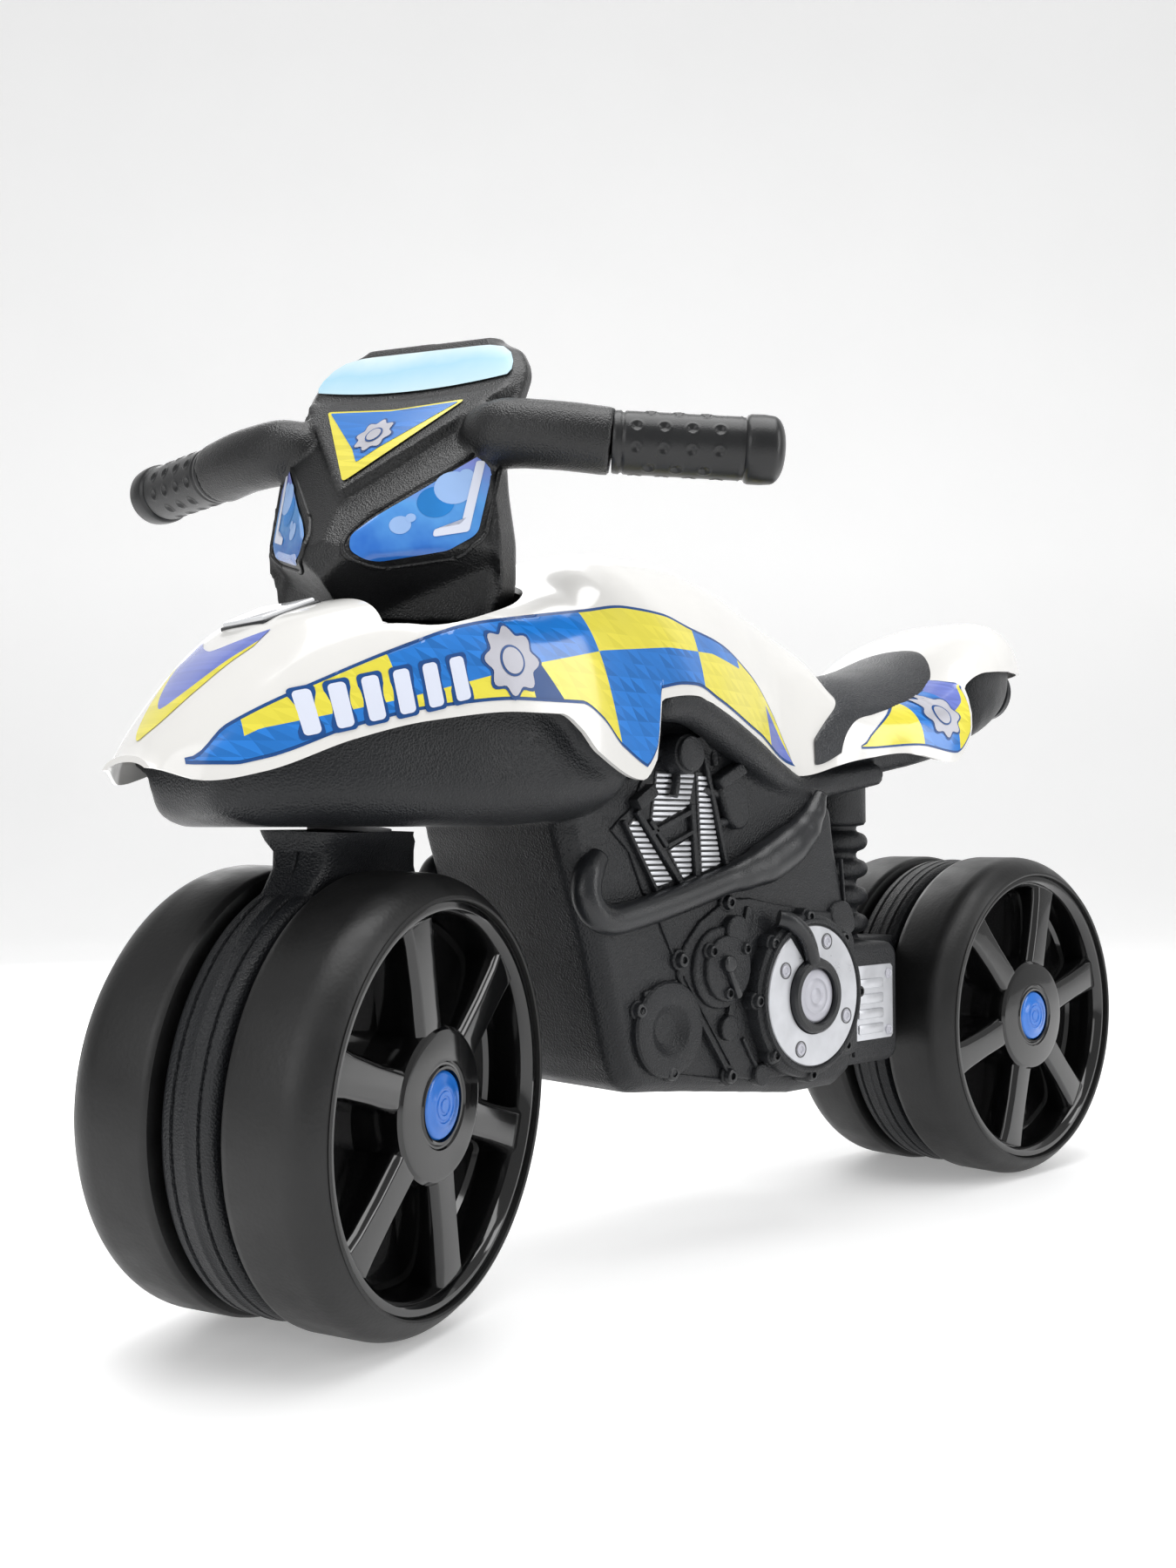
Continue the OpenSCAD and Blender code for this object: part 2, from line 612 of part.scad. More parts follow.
module rear_tyre_left() { color([0.07, 0.07, 0.07]) place() at_wheel(1, wheelbase) tyre(); }
module rear_tyre_right() { color([0.07, 0.07, 0.07]) place() at_wheel(-1, wheelbase) tyre(); }
module rear_wheel_face_left() { color([0.04, 0.04, 0.05]) place() at_wheel(1, wheelbase) wheel_face(rear_turn); }
module rear_wheel_face_right() { color([0.04, 0.04, 0.05]) place() at_wheel(-1, wheelbase) wheel_face(rear_turn); }
module rear_hub_cap_left() { color([0.1, 0.35, 0.75]) place() at_wheel(1, wheelbase) hub_cap(); }
module rear_hub_cap_right() { color([0.1, 0.35, 0.75]) place() at_wheel(-1, wheelbase) hub_cap(); }
module rear_wheel_bush_left() { color("gray") place() at_wheel(1, wheelbase) wheel_bush(); }
module rear_wheel_bush_right() { color("gray") place() at_wheel(-1, wheelbase) wheel_bush(); }

// ---- what is drawn ----

main_body();
top_cover();
seat_pad();
nose_badge();
tail_lamp();
shock_absorber();
rear_fork();
rear_axle();
rear_axle_clips();
steering_bush_lower();
steering_bush_upper();
exhaust(1);  // exhaust_left
exhaust(-1);  // exhaust_right
clutch_cover(1);  // clutch_cover_left
clutch_cover(-1);  // clutch_cover_right
clutch_label(1);  // clutch_label_left
clutch_label(-1);  // clutch_label_right
ignition_cover(1);  // ignition_cover_left
ignition_cover(-1);  // ignition_cover_right
alternator_cover(1);  // alternator_cover_left
alternator_cover(-1);  // alternator_cover_right
gearbox_label(1);  // gearbox_label_left
gearbox_label(-1);  // gearbox_label_right
cylinder_head(1);  // cylinder_head_left
cylinder_head(-1);  // cylinder_head_right
breather(1);  // breather_left
breather(-1);  // breather_right
handlebar();
grip_left();
grip_right();
visor_label();
mask_label();
headlamp_label_left();
headlamp_label_right();
front_fork();
steering_shaft();
steering_collar();
front_axle();
front_axle_clips();
front_tyre_left();
front_tyre_right();
front_wheel_face_left();
front_wheel_face_right();
front_hub_cap_left();
front_hub_cap_right();
front_wheel_bush_left();
front_wheel_bush_right();
rear_tyre_left();
rear_tyre_right();
rear_wheel_face_left();
rear_wheel_face_right();
rear_hub_cap_left();
rear_hub_cap_right();
rear_wheel_bush_left();
rear_wheel_bush_right();
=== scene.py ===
import json
import math

import bmesh
import bpy
from mathutils import Matrix, Vector

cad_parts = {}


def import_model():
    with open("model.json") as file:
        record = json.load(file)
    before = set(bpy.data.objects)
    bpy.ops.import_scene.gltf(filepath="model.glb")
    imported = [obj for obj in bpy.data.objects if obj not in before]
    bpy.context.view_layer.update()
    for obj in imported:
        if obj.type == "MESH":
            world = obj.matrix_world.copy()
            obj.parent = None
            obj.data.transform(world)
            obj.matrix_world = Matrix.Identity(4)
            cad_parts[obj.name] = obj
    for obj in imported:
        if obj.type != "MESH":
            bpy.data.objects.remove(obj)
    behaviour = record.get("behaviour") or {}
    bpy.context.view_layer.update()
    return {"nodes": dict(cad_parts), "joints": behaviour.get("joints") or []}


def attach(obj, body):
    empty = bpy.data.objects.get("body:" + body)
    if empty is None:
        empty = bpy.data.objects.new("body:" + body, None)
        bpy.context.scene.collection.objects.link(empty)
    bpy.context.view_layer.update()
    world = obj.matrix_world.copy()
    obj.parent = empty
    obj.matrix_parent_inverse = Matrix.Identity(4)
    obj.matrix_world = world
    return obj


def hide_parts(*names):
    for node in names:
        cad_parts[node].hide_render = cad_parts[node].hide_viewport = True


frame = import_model()

# ---- driving dimensions, in millimetres from the floor and the straight front axle ----

MM = 0.001
WHEELBASE = 545.2
WHEEL_RADIUS = 110.0
SHOULDER_RADIUS = 21.6
TYRE_INNER = 19.2
TYRE_OUTER = 69.1
SHOULDER_X = TYRE_OUTER + 2 - SHOULDER_RADIUS
FACE_RADIUS = 97.4
FACE_OUT = 66.3
HUB_RADIUS = 38.0
CAP_RADIUS = 16.7
DISC_HALF = 14.7
DISC_RADIUS = 107.5
ENGINE_HALF = 62.0
COVER_WALL = 3.0
BODY_GAP = 4.0
SIDES = (("left", 1), ("right", -1))

JOINTS = {joint["name"]: joint for joint in frame["joints"]}
REAR_HUB = Vector(JOINTS["rear_spin_left"]["pos_m"])
ORIGIN = REAR_HUB - Vector((0, WHEELBASE, WHEEL_RADIUS)) * MM
STEER_PIVOT = Vector(JOINTS["steer"]["pos_m"])
STEER_AXIS = Vector(JOINTS["steer"]["axis"]).normalized()
FRONT_AXLE_WAY = Vector(JOINTS["front_spin_left"]["axis"])
STEER_ANGLE = math.atan2(FRONT_AXLE_WAY.y, FRONT_AXLE_WAY.x * math.cos(math.asin(STEER_AXIS.y)))
STEER_TURN = Matrix.Rotation(STEER_ANGLE, 4, STEER_AXIS)
FRONT_Z = (STEER_PIVOT.z - ORIGIN.z) / MM


def world(p):
    """A place in millimetres in the object's own frame, in metres."""
    return ORIGIN + Vector(p) * MM


def steered(p):
    """The same for a piece that is drawn with the bar straight."""
    return STEER_PIVOT + STEER_TURN @ (world(p) - STEER_PIVOT)


def on_steer_axis(p):
    """A place drawn around the steering axis, with its height up the axis from the front hub."""
    rake = math.asin(STEER_AXIS.y)
    turned = Matrix.Rotation(-rake, 4, "X") @ Vector(p)
    return world(turned) + (STEER_PIVOT - ORIGIN)


# ---- curves and tables ----

def smooth(table, at, column=1):
    """A value of a table, eased between its rows without overshoot."""
    rows = len(table)
    i = 0
    while i < rows - 2 and at >= table[i + 1][0]:
        i += 1

    def slope_of(k):
        if k <= 0 or k >= rows - 1:
            return 0.0
        before = (table[k][column] - table[k - 1][column]) / (table[k][0] - table[k - 1][0])
        after = (table[k + 1][column] - table[k][column]) / (table[k + 1][0] - table[k][0])
        return 0.0 if before * after <= 0 else 2 * before * after / (before + after)

    a, b = table[i], table[i + 1]
    span = b[0] - a[0]
    t = min(max((at - a[0]) / span, 0.0), 1.0)
    eased = t * t * (3 - 2 * t)
    bend = span * t * (1 - t) * ((1 - t) * slope_of(i) - t * slope_of(i + 1))
    return a[column] + (b[column] - a[column]) * eased + bend


def straight(table, at):
    """A value of a table, in straight lines between its rows."""
    if at <= table[0][0]:
        return table[0][1]
    for a, b in zip(table, table[1:]):
        if at <= b[0]:
            return a[1] + (b[1] - a[1]) * (at - a[0]) / (b[0] - a[0])
    return table[-1][1]


def spread(start, stop, steps):
    return [start + (stop - start) * i / steps for i in range(steps + 1)]


def ease(t):
    t = min(max(t, 0.0), 1.0)
    return t * t * (3 - 2 * t)


# ---- the shared outline of the cover and the body ----

TOP_LINE = [(-107, 274), (-98, 285), (-83, 304), (-65, 323), (-37, 343), (0, 353), (60, 356), (95, 366),
            (120, 382), (150, 392), (196, 394), (240, 389), (287, 375), (329, 354), (352, 330),
            (375, 322), (410, 326), (450, 341), (475, 361), (500, 377), (535, 388), (560, 386),
            (580, 374), (592, 356)]
EDGE_LINE = [(-107, 268), (-90, 262), (-70, 266), (-33, 281), (0, 290), (50, 296), (72, 296), (84, 289),
             (95, 278), (126, 265), (137, 276), (143, 307), (176, 311), (199, 304), (240, 290),
             (300, 272), (360, 284), (390, 288), (428, 283), (445, 299), (457, 334), (480, 345),
             (540, 349), (592, 351)]
WIDTH_LINE = [(-107, 25), (-90, 42), (-70, 56), (-40, 70), (0, 84), (50, 94), (100, 98), (150, 96),
              (200, 86), (250, 70), (290, 58), (330, 56), (370, 65), (410, 77), (450, 83), (490, 79),
              (530, 66), (560, 50), (580, 34), (592, 20)]
CENTRE_LINE = [(-107, 262), (-60, 252), (0, 258), (100, 258), (300, 262), (400, 272), (450, 276),
               (500, 300), (560, 330), (592, 340)]
POWER_LINE = [(-107, 2.2), (-60, 2.8), (0, 4.6), (80, 4.6), (130, 3.2), (200, 2.6), (300, 2.5), (380, 4),
              (450, 4), (540, 3.2), (592, 2.4)]
UNDER_LINE = [(-80, 258), (-76, 249), (-54, 242), (60, 242), (110, 246), (160, 262),
              (320, 262), (350, 266), (400, 276), (450, 288), (500, 303), (540, 318), (575, 334),
              (588, 342)]
UNDER_WIDTH = [(-80, 30), (-70, 44), (-40, 60), (0, 72), (60, 82), (110, 84), (136, 78),
               (150, 60), (200, 58), (300, 52), (350, 48), (400, 58), (450, 66), (500, 62),
               (540, 50), (575, 28), (588, 14)]


def dome(y, inset=0.0):
    """Half width, centre height, dome height and squareness of the cover's outside."""
    centre = smooth(CENTRE_LINE, y)
    return (smooth(WIDTH_LINE, y) - inset, centre, smooth(TOP_LINE, y) - inset - centre,
            smooth(POWER_LINE, y))


def dome_point(d, angle):
    """0 is the left side, a quarter turn is the top, half a turn is the right side."""
    c, s = math.cos(angle), max(math.sin(angle), 0.0)
    return math.copysign(abs(c) ** (2 / d[3]), c) * d[0], d[1] + d[2] * s ** (2 / d[3])


def dome_start(d, z):
    return math.asin(min(max((z - d[1]) / d[2], 0.0), 0.98) ** (d[3] / 2))


def cover_at_height(y, z, lift, side):
    """A place on the cover's side at a height, lifted off the surface."""
    w, zc, h, n = dome(y)
    rise = min(max((z - zc) / h, 0.0), 0.985)
    x = w * (1 - rise ** n) ** (1 / n)
    normal = Vector(((x / w) ** (n - 1) / w, 0, rise ** (n - 1) / h)).normalized()
    return Vector((side * (x + normal.x * lift), y, z + normal.z * lift))


def cover_at_width(x, y, lift):
    """A place on top of the cover at a distance from the centre line."""
    w, zc, h, n = dome(y)
    across = min(abs(x) / w, 0.97)
    z = zc + h * (1 - across ** n) ** (1 / n)
    slope = (smooth(TOP_LINE, y + 2) - smooth(TOP_LINE, y - 2)) / 4
    normal = Vector((math.copysign(across ** (n - 1) / w * h, x), -slope, 1)).normalized()
    return Vector((x, y, z)) + normal * lift


# ---- mesh helpers ----

def mesh_piece(name, verts, faces, materials, indices=None):
    mesh = bpy.data.meshes.new(name)
    mesh.from_pydata([tuple(v) for v in verts], [], faces)
    mesh.validate()
    for material in materials:
        mesh.materials.append(material)
    for i, polygon in enumerate(mesh.polygons):
        polygon.use_smooth = True
        if indices:
            polygon.material_index = indices[i]
    piece = bpy.data.objects.new(name, mesh)
    bpy.context.scene.collection.objects.link(piece)
    return piece


def ring_faces(rings, count):
    """Quads between closed rings of the same length."""
    faces = []
    for i in range(rings - 1):
        for j in range(count):
            k = (j + 1) % count
            faces.append((i * count + j, i * count + k, (i + 1) * count + k, (i + 1) * count + j))
    return faces


def skin(name, rings, material, to_world=world):
    """A closed skin over rings of the same length, capped at both ends."""
    count = len(rings[0])
    verts = [to_world(p) for ring in rings for p in ring]
    faces = ring_faces(len(rings), count)
    faces.append(tuple(range(count - 1, -1, -1)))
    faces.append(tuple((len(rings) - 1) * count + j for j in range(count)))
    piece = mesh_piece(name, verts, faces, [material])
    outward(piece)
    return piece


def curve_place(p0, p1, p2, p3, t):
    """A place between p1 and p2 on the smooth curve through four places."""
    return 0.5 * ((2 * p1) + (p2 - p0) * t + (2 * p0 - 5 * p1 + 4 * p2 - p3) * t * t
                  + (3 * p1 - p0 - 3 * p2 + p3) * t ** 3)


def outward(piece):
    """Turns every face of a closed mesh outwards."""
    bm = bmesh.new()
    bm.from_mesh(piece.data)
    bmesh.ops.recalc_face_normals(bm, faces=bm.faces)
    bm.to_mesh(piece.data)
    bm.free()


def lathe(name, profile, material, to_world, steps=96, centre=(0, 0, 0), way="X"):
    """A turned shape: rows of radius and distance along an axis through the centre. The profile
    runs from axis to axis, or closes on itself when its ends aren't on the axis."""
    cx, cy, cz = centre
    rings = []
    for step in range(steps):
        a = 2 * math.pi * step / steps
        c, s = math.cos(a), math.sin(a)
        ring = []
        for r, along in profile:
            if way == "X":
                ring.append((cx + along, cy + r * c, cz + r * s))
            elif way == "Y":
                ring.append((cx + r * c, cy + along, cz + r * s))
            else:
                ring.append((cx + r * c, cy + r * s, cz + along))
        rings.append(ring)
    count = len(profile)
    open_ends = profile[0][0] == 0 and profile[-1][0] == 0
    verts = [to_world(p) for ring in rings for p in ring]
    faces = []
    for i in range(steps):
        n = (i + 1) % steps
        for j in range(count - 1 if open_ends else count):
            k = (j + 1) % count
            faces.append((i * count + j, i * count + k, n * count + k, n * count + j))
    piece = mesh_piece(name, verts, faces, [material])
    bm = bmesh.new()
    bm.from_mesh(piece.data)
    bmesh.ops.remove_doubles(bm, verts=bm.verts, dist=1e-6)
    bmesh.ops.recalc_face_normals(bm, faces=bm.faces)
    bm.to_mesh(piece.data)
    bm.free()
    return piece


def sweep(name, run, material, to_world, sides=24, between=6):
    """A round tube along rows of place and radius, smoothed between the rows."""
    points = [Vector(row[:3]) for row in run]
    radii = [row[3] for row in run]
    track = []
    for i in range(len(points) - 1):
        p0, p1 = points[max(i - 1, 0)], points[i]
        p2, p3 = points[i + 1], points[min(i + 2, len(points) - 1)]
        for step in range(between):
            t = step / between
            track.append((curve_place(p0, p1, p2, p3, t), radii[i] + (radii[i + 1] - radii[i]) * ease(t)))
    track.append((points[-1], radii[-1]))
    rings = []
    side = None
    for i, (place, radius) in enumerate(track):
        way = (track[min(i + 1, len(track) - 1)][0] - track[max(i - 1, 0)][0]).normalized()
        if side is None:
            side = way.orthogonal().normalized()
        side = (side - way * side.dot(way)).normalized()
        up = way.cross(side)
        ring = []
        for k in range(sides):
            a = 2 * math.pi * k / sides
            ring.append(place + (side * math.cos(a) + up * math.sin(a)) * radius)
        rings.append(ring)
    return skin(name, rings, material, to_world)


def plate(name, outline, low, high, material, to_world, bevel=0.8, segments=3):
    """An upright outline of (y, z) places, given a thickness along x, with rounded edges."""
    count = len(outline)
    verts = [to_world((low, y, z)) for y, z in outline] + [to_world((high, y, z)) for y, z in outline]
    faces = [tuple(range(count)), tuple(range(2 * count - 1, count - 1, -1))]
    for i in range(count):
        k = (i + 1) % count
        faces.append((i, k, count + k, count + i))
    piece = mesh_piece(name, verts, faces, [material])
    outward(piece)
    if bevel:
        round_edges(piece, bevel, segments)
    return piece


def round_edges(piece, width, segments=3, angle=25):
    modifier = piece.modifiers.new("edges", "BEVEL")
    modifier.width = width * MM
    modifier.segments = segments
    modifier.limit_method = "ANGLE"
    modifier.angle_limit = math.radians(angle)
    modifier.harden_normals = False
    bake_modifiers(piece)


def bake_modifiers(piece):
    """Replaces a piece's mesh by what its modifiers make of it."""
    bpy.context.view_layer.update()
    depsgraph = bpy.context.evaluated_depsgraph_get()
    mesh = bpy.data.meshes.new_from_object(piece.evaluated_get(depsgraph))
    piece.modifiers.clear()
    piece.data = mesh
    for polygon in mesh.polygons:
        polygon.use_smooth = True


def join(name, pieces):
    """One mesh from several, keeping each face's material."""
    materials = []
    verts, faces, indices, smooths = [], [], [], []
    for piece in pieces:
        base = len(verts)
        verts += [v.co.copy() for v in piece.data.vertices]
        slots = []
        for material in piece.data.materials:
            if material not in materials:
                materials.append(material)
            slots.append(materials.index(material))
        for polygon in piece.data.polygons:
            faces.append(tuple(base + v for v in polygon.vertices))
            indices.append(slots[polygon.material_index] if slots else 0)
            smooths.append(polygon.use_smooth)
        bpy.data.objects.remove(piece)
    piece = mesh_piece(name, verts, faces, materials, indices)
    for polygon, is_smooth in zip(piece.data.polygons, smooths):
        polygon.use_smooth = is_smooth
    return piece


def crease(piece, angle=32):
    """Smooth shading that stays sharp where faces meet at a larger angle."""
    piece.data.set_sharp_from_angle(angle=math.radians(angle))
    return piece


def cut_away(piece, cutter):
    """Takes the cutter's shape out of a piece, and the cutter with it."""
    modifier = piece.modifiers.new("cut", "BOOLEAN")
    modifier.operation = "DIFFERENCE"
    modifier.solver = "EXACT"
    modifier.object = cutter
    bake_modifiers(piece)
    bpy.data.objects.remove(cutter)


def melt(piece, voxel):
    """Blends joined shells into one moulded skin."""
    modifier = piece.modifiers.new("remesh", "REMESH")
    modifier.mode = "VOXEL"
    modifier.voxel_size = voxel * MM
    modifier.use_smooth_shade = True
    soft = piece.modifiers.new("soft", "SMOOTH")
    soft.iterations = 4
    soft.factor = 0.5
    bake_modifiers(piece)


def place(piece, body, slot, *replaced):
    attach(piece, body)
    if replaced:
        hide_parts(*replaced)
    return piece


# ---- materials ----

def new_material(name):
    material = bpy.data.materials.new(name)
    material.use_nodes = True
    tree = material.node_tree
    return material, tree.nodes, tree.links, tree.nodes["Principled BSDF"]


def noise(nodes, links, coords, scale, detail=3.0, rough=0.55):
    node = nodes.new("ShaderNodeTexNoise")
    node.inputs["Scale"].default_value = scale
    node.inputs["Detail"].default_value = detail
    node.inputs["Roughness"].default_value = rough
    links.new(coords, node.inputs["Vector"])
    return node


def ramp(nodes, links, value, stops):
    node = nodes.new("ShaderNodeValToRGB")
    links.new(value, node.inputs["Fac"])
    while len(node.color_ramp.elements) < len(stops):
        node.color_ramp.elements.new(0.5)
    for element, (at, colour) in zip(node.color_ramp.elements, stops):
        element.position = at
        element.color = (*colour, 1)
    return node


def math_node(nodes, links, operation, a, b=None):
    node = nodes.new("ShaderNodeMath")
    node.operation = operation
    for socket, value in zip(node.inputs, (a, b)):
        if value is None:
            continue
        if isinstance(value, (int, float)):
            socket.default_value = value
        else:
            links.new(value, socket)
    return node.outputs[0]


def plastic(name, colour, rough, grain=0.0, grain_size=1.1, shade=0.25, specular=0.5, coat=0.0,
            coat_rough=0.05):
    """Moulded plastic: a cloudy tint, uneven gloss and, where asked, a leather grain."""
    material, nodes, links, shader = new_material(name)
    coords = nodes.new("ShaderNodeTexCoord").outputs["Object"]
    cloud = noise(nodes, links, coords, 14.0, 4.0)
    dark = tuple(c * (1 - shade) for c in colour)
    light = tuple(min(c * (1 + shade), 1) for c in colour)
    tint = ramp(nodes, links, cloud.outputs["Fac"], ((0.3, dark), (0.7, light)))
    links.new(tint.outputs["Color"], shader.inputs["Base Color"])
    smear = noise(nodes, links, coords, 55.0, 3.0)
    gloss = ramp(nodes, links, smear.outputs["Fac"],
                 ((0.25, (rough * 0.85,) * 3), (0.75, (min(rough * 1.18, 1),) * 3)))
    links.new(gloss.outputs["Color"], shader.inputs["Roughness"])
    shader.inputs["Specular IOR Level"].default_value = specular
    shader.inputs["Coat Weight"].default_value = coat
    shader.inputs["Coat Roughness"].default_value = coat_rough
    bump = nodes.new("ShaderNodeBump")
    if grain:
        cells = nodes.new("ShaderNodeTexVoronoi")
        cells.feature = "SMOOTH_F1"
        cells.inputs["Scale"].default_value = 1 / (grain_size * MM)
        cells.inputs["Smoothness"].default_value = 0.35
        wobble = noise(nodes, links, coords, 350.0, 2.0)
        mix = nodes.new("ShaderNodeVectorMath")
        mix.operation = "MULTIPLY_ADD"
        links.new(wobble.outputs["Color"], mix.inputs[0])
        mix.inputs[1].default_value = (0.0012, 0.0012, 0.0012)
        links.new(coords, mix.inputs[2])
        links.new(mix.outputs[0], cells.inputs["Vector"])
        bump.inputs["Strength"].default_value = grain
        bump.inputs["Distance"].default_value = 0.0006
        links.new(cells.outputs["Distance"], bump.inputs["Height"])
    else:
        wave = noise(nodes, links, coords, 22.0, 2.0)
        bump.inputs["Strength"].default_value = 0.06
        bump.inputs["Distance"].default_value = 0.002
        links.new(wave.outputs["Fac"], bump.inputs["Height"])
    links.new(bump.outputs["Normal"], shader.inputs["Normal"])
    return material


def triangle_print(name, colour, alter=0.12, cell=8.5, rough=0.2):
    """Printed sheet with a fine pattern of triangles in slightly different tints."""
    material, nodes, links, shader = new_material(name)
    coords = nodes.new("ShaderNodeTexCoord").outputs["Object"]
    split = nodes.new("ShaderNodeSeparateXYZ")
    links.new(coords, split.inputs["Vector"])
    across = math_node(nodes, links, "MULTIPLY", split.outputs["Y"], 1 / (cell * MM))
    rows = math_node(nodes, links, "MULTIPLY", split.outputs["Z"], 1 / (cell * 0.866 * MM))
    half_row = math_node(nodes, links, "MULTIPLY", rows, 0.5)
    lean = math_node(nodes, links, "ADD", across, half_row)
    a = math_node(nodes, links, "FRACT", lean)
    b = math_node(nodes, links, "FRACT", rows)
    up = math_node(nodes, links, "GREATER_THAN", math_node(nodes, links, "ADD", a, b), 1.0)
    cell_id = nodes.new("ShaderNodeCombineXYZ")
    links.new(math_node(nodes, links, "FLOOR", lean), cell_id.inputs["X"])
    links.new(math_node(nodes, links, "FLOOR", rows), cell_id.inputs["Y"])
    links.new(up, cell_id.inputs["Z"])
    lucky = nodes.new("ShaderNodeTexWhiteNoise")
    links.new(cell_id.outputs["Vector"], lucky.inputs["Vector"])
    level = math_node(nodes, links, "ADD", math_node(nodes, links, "MULTIPLY", lucky.outputs["Value"], 0.6),
                      math_node(nodes, links, "MULTIPLY", up, 0.4))
    low = tuple(c * (1 - alter) for c in colour)
    high = tuple(min(c * (1 + alter) + 0.01, 1) for c in colour)
    tint = ramp(nodes, links, level, ((0.0, low), (1.0, high)))
    links.new(tint.outputs["Color"], shader.inputs["Base Color"])
    smear = noise(nodes, links, coords, 40.0)
    gloss = ramp(nodes, links, smear.outputs["Fac"], ((0.3, (rough * 0.8,) * 3), (0.7, (rough * 1.2,) * 3)))
    links.new(gloss.outputs["Color"], shader.inputs["Roughness"])
    shader.inputs["Coat Weight"].default_value = 0.5
    shader.inputs["Coat Roughness"].default_value = 0.08
    return material


def gradient_print(name, stops, axis="Z", low=0.0, high=1.0, cloudy=0.2, rough=0.15):
    """Printed sheet whose colour runs from low to high along one axis, with cloudy patches."""
    material, nodes, links, shader = new_material(name)
    coords = nodes.new("ShaderNodeTexCoord").outputs["Object"]
    split = nodes.new("ShaderNodeSeparateXYZ")
    links.new(coords, split.inputs["Vector"])
    shifted = math_node(nodes, links, "SUBTRACT", split.outputs[axis], low)
    along = math_node(nodes, links, "DIVIDE", shifted, high - low)
    cloud = noise(nodes, links, coords, 45.0, 3.0)
    centred = math_node(nodes, links, "SUBTRACT", cloud.outputs["Fac"], 0.5)
    moved = math_node(nodes, links, "ADD", along, math_node(nodes, links, "MULTIPLY", centred, cloudy * 4))
    tint = ramp(nodes, links, moved, stops)
    links.new(tint.outputs["Color"], shader.inputs["Base Color"])
    shader.inputs["Roughness"].default_value = rough
    shader.inputs["Coat Weight"].default_value = 0.6
    shader.inputs["Coat Roughness"].default_value = 0.05
    return material


def metal(name, colour, rough, metallic=1.0, brushed=0.0):
    material, nodes, links, shader = new_material(name)
    coords = nodes.new("ShaderNodeTexCoord").outputs["Object"]
    cloud = noise(nodes, links, coords, 60.0, 4.0)
    tint = ramp(nodes, links, cloud.outputs["Fac"],
                ((0.3, tuple(c * 0.88 for c in colour)), (0.7, tuple(min(c * 1.06, 1) for c in colour))))
    links.new(tint.outputs["Color"], shader.inputs["Base Color"])
    shader.inputs["Metallic"].default_value = metallic
    gloss = ramp(nodes, links, cloud.outputs["Fac"], ((0.3, (rough * 0.8,) * 3), (0.7, (rough * 1.2,) * 3)))
    links.new(gloss.outputs["Color"], shader.inputs["Roughness"])
    if brushed:
        stretch = nodes.new("ShaderNodeMapping")
        stretch.inputs["Scale"].default_value = (200, 30, 900)
        links.new(coords, stretch.inputs["Vector"])
        lines = noise(nodes, links, stretch.outputs["Vector"], 1.0, 2.0)
        bump = nodes.new("ShaderNodeBump")
        bump.inputs["Strength"].default_value = brushed
        bump.inputs["Distance"].default_value = 0.0003
        links.new(lines.outputs["Fac"], bump.inputs["Height"])
        links.new(bump.outputs["Normal"], shader.inputs["Normal"])
    return material


BLACK = plastic("black_grain", (0.0125, 0.0135, 0.0155), 0.40, grain=0.55, specular=0.36)
BLACK_SMOOTH = plastic("black_satin", (0.011, 0.012, 0.014), 0.30, grain=0.18, grain_size=0.8)
BAR = plastic("bar_grain", (0.0095, 0.0098, 0.0105), 0.34, grain=0.45, grain_size=0.9)
SEAT = plastic("seat_grain", (0.015, 0.017, 0.021), 0.36, grain=0.7, grain_size=1.3)
WHITE = plastic("cover_white", (0.80, 0.79, 0.765), 0.16, shade=0.02, coat=0.5)
BADGE = plastic("badge_white", (0.82, 0.83, 0.85), 0.12, shade=0.02, coat=0.6)
TYRE = plastic("tyre_satin", (0.006, 0.006, 0.0062), 0.42, grain=0.10, grain_size=2.2, shade=0.4)
GLOSS = plastic("wheel_gloss", (0.003, 0.003, 0.0032), 0.09, shade=0.3, specular=0.6, coat=0.4)
CAP = plastic("cap_blue", (0.012, 0.16, 0.62), 0.22, shade=0.12, coat=0.3)
INK = plastic("outline_blue", (0.008, 0.065, 0.24), 0.25, shade=0.1)
BUSH = plastic("bush_grey", (0.30, 0.30, 0.31), 0.5)
BLUE = triangle_print("print_blue", (0.004, 0.17, 0.58), 0.22)
YELLOW = triangle_print("print_yellow", (0.79, 0.70, 0.055), 0.08)
LILAC = triangle_print("print_lilac", (0.13, 0.18, 0.56), 0.10)
SILVER = metal("print_silver", (0.60, 0.61, 0.64), 0.34, 0.55)
BADGE_SILVER = metal("badge_silver", (0.50, 0.50, 0.55), 0.42, 0.35)
STEEL = metal("steel", (0.55, 0.55, 0.56), 0.28, 1.0, 0.25)
PALE = gradient_print("visor_print", ((0.0, (0.62, 0.82, 0.90)), (0.55, (0.42, 0.70, 0.86)),
                                      (1.0, (0.78, 0.90, 0.93))),
                      "Z", 0.470, 0.500, 0.08)
LAMP_BLUE = gradient_print("lamp_print", ((0.0, (0.02, 0.16, 0.60)), (0.5, (0.10, 0.36, 0.80)),
                                          (1.0, (0.24, 0.28, 0.72))),
                           "Z", 0.375, 0.430, 0.22)
BUBBLE = plastic("bubble_print", (0.34, 0.52, 0.86), 0.2, shade=0.1)
STROKE = plastic("stroke_white", (0.72, 0.76, 0.88), 0.2, shade=0.03)
INK_GREY = plastic("ink_grey", (0.08, 0.08, 0.085), 0.3)
LAMP_DEEP = plastic("lamp_deep", (0.02, 0.22, 0.62), 0.2, shade=0.3)
GRIP = plastic("grip_satin", (0.012, 0.0125, 0.0135), 0.30, grain=0.12, grain_size=0.7)

for node in frame["nodes"].values():
    node.data.materials.clear()


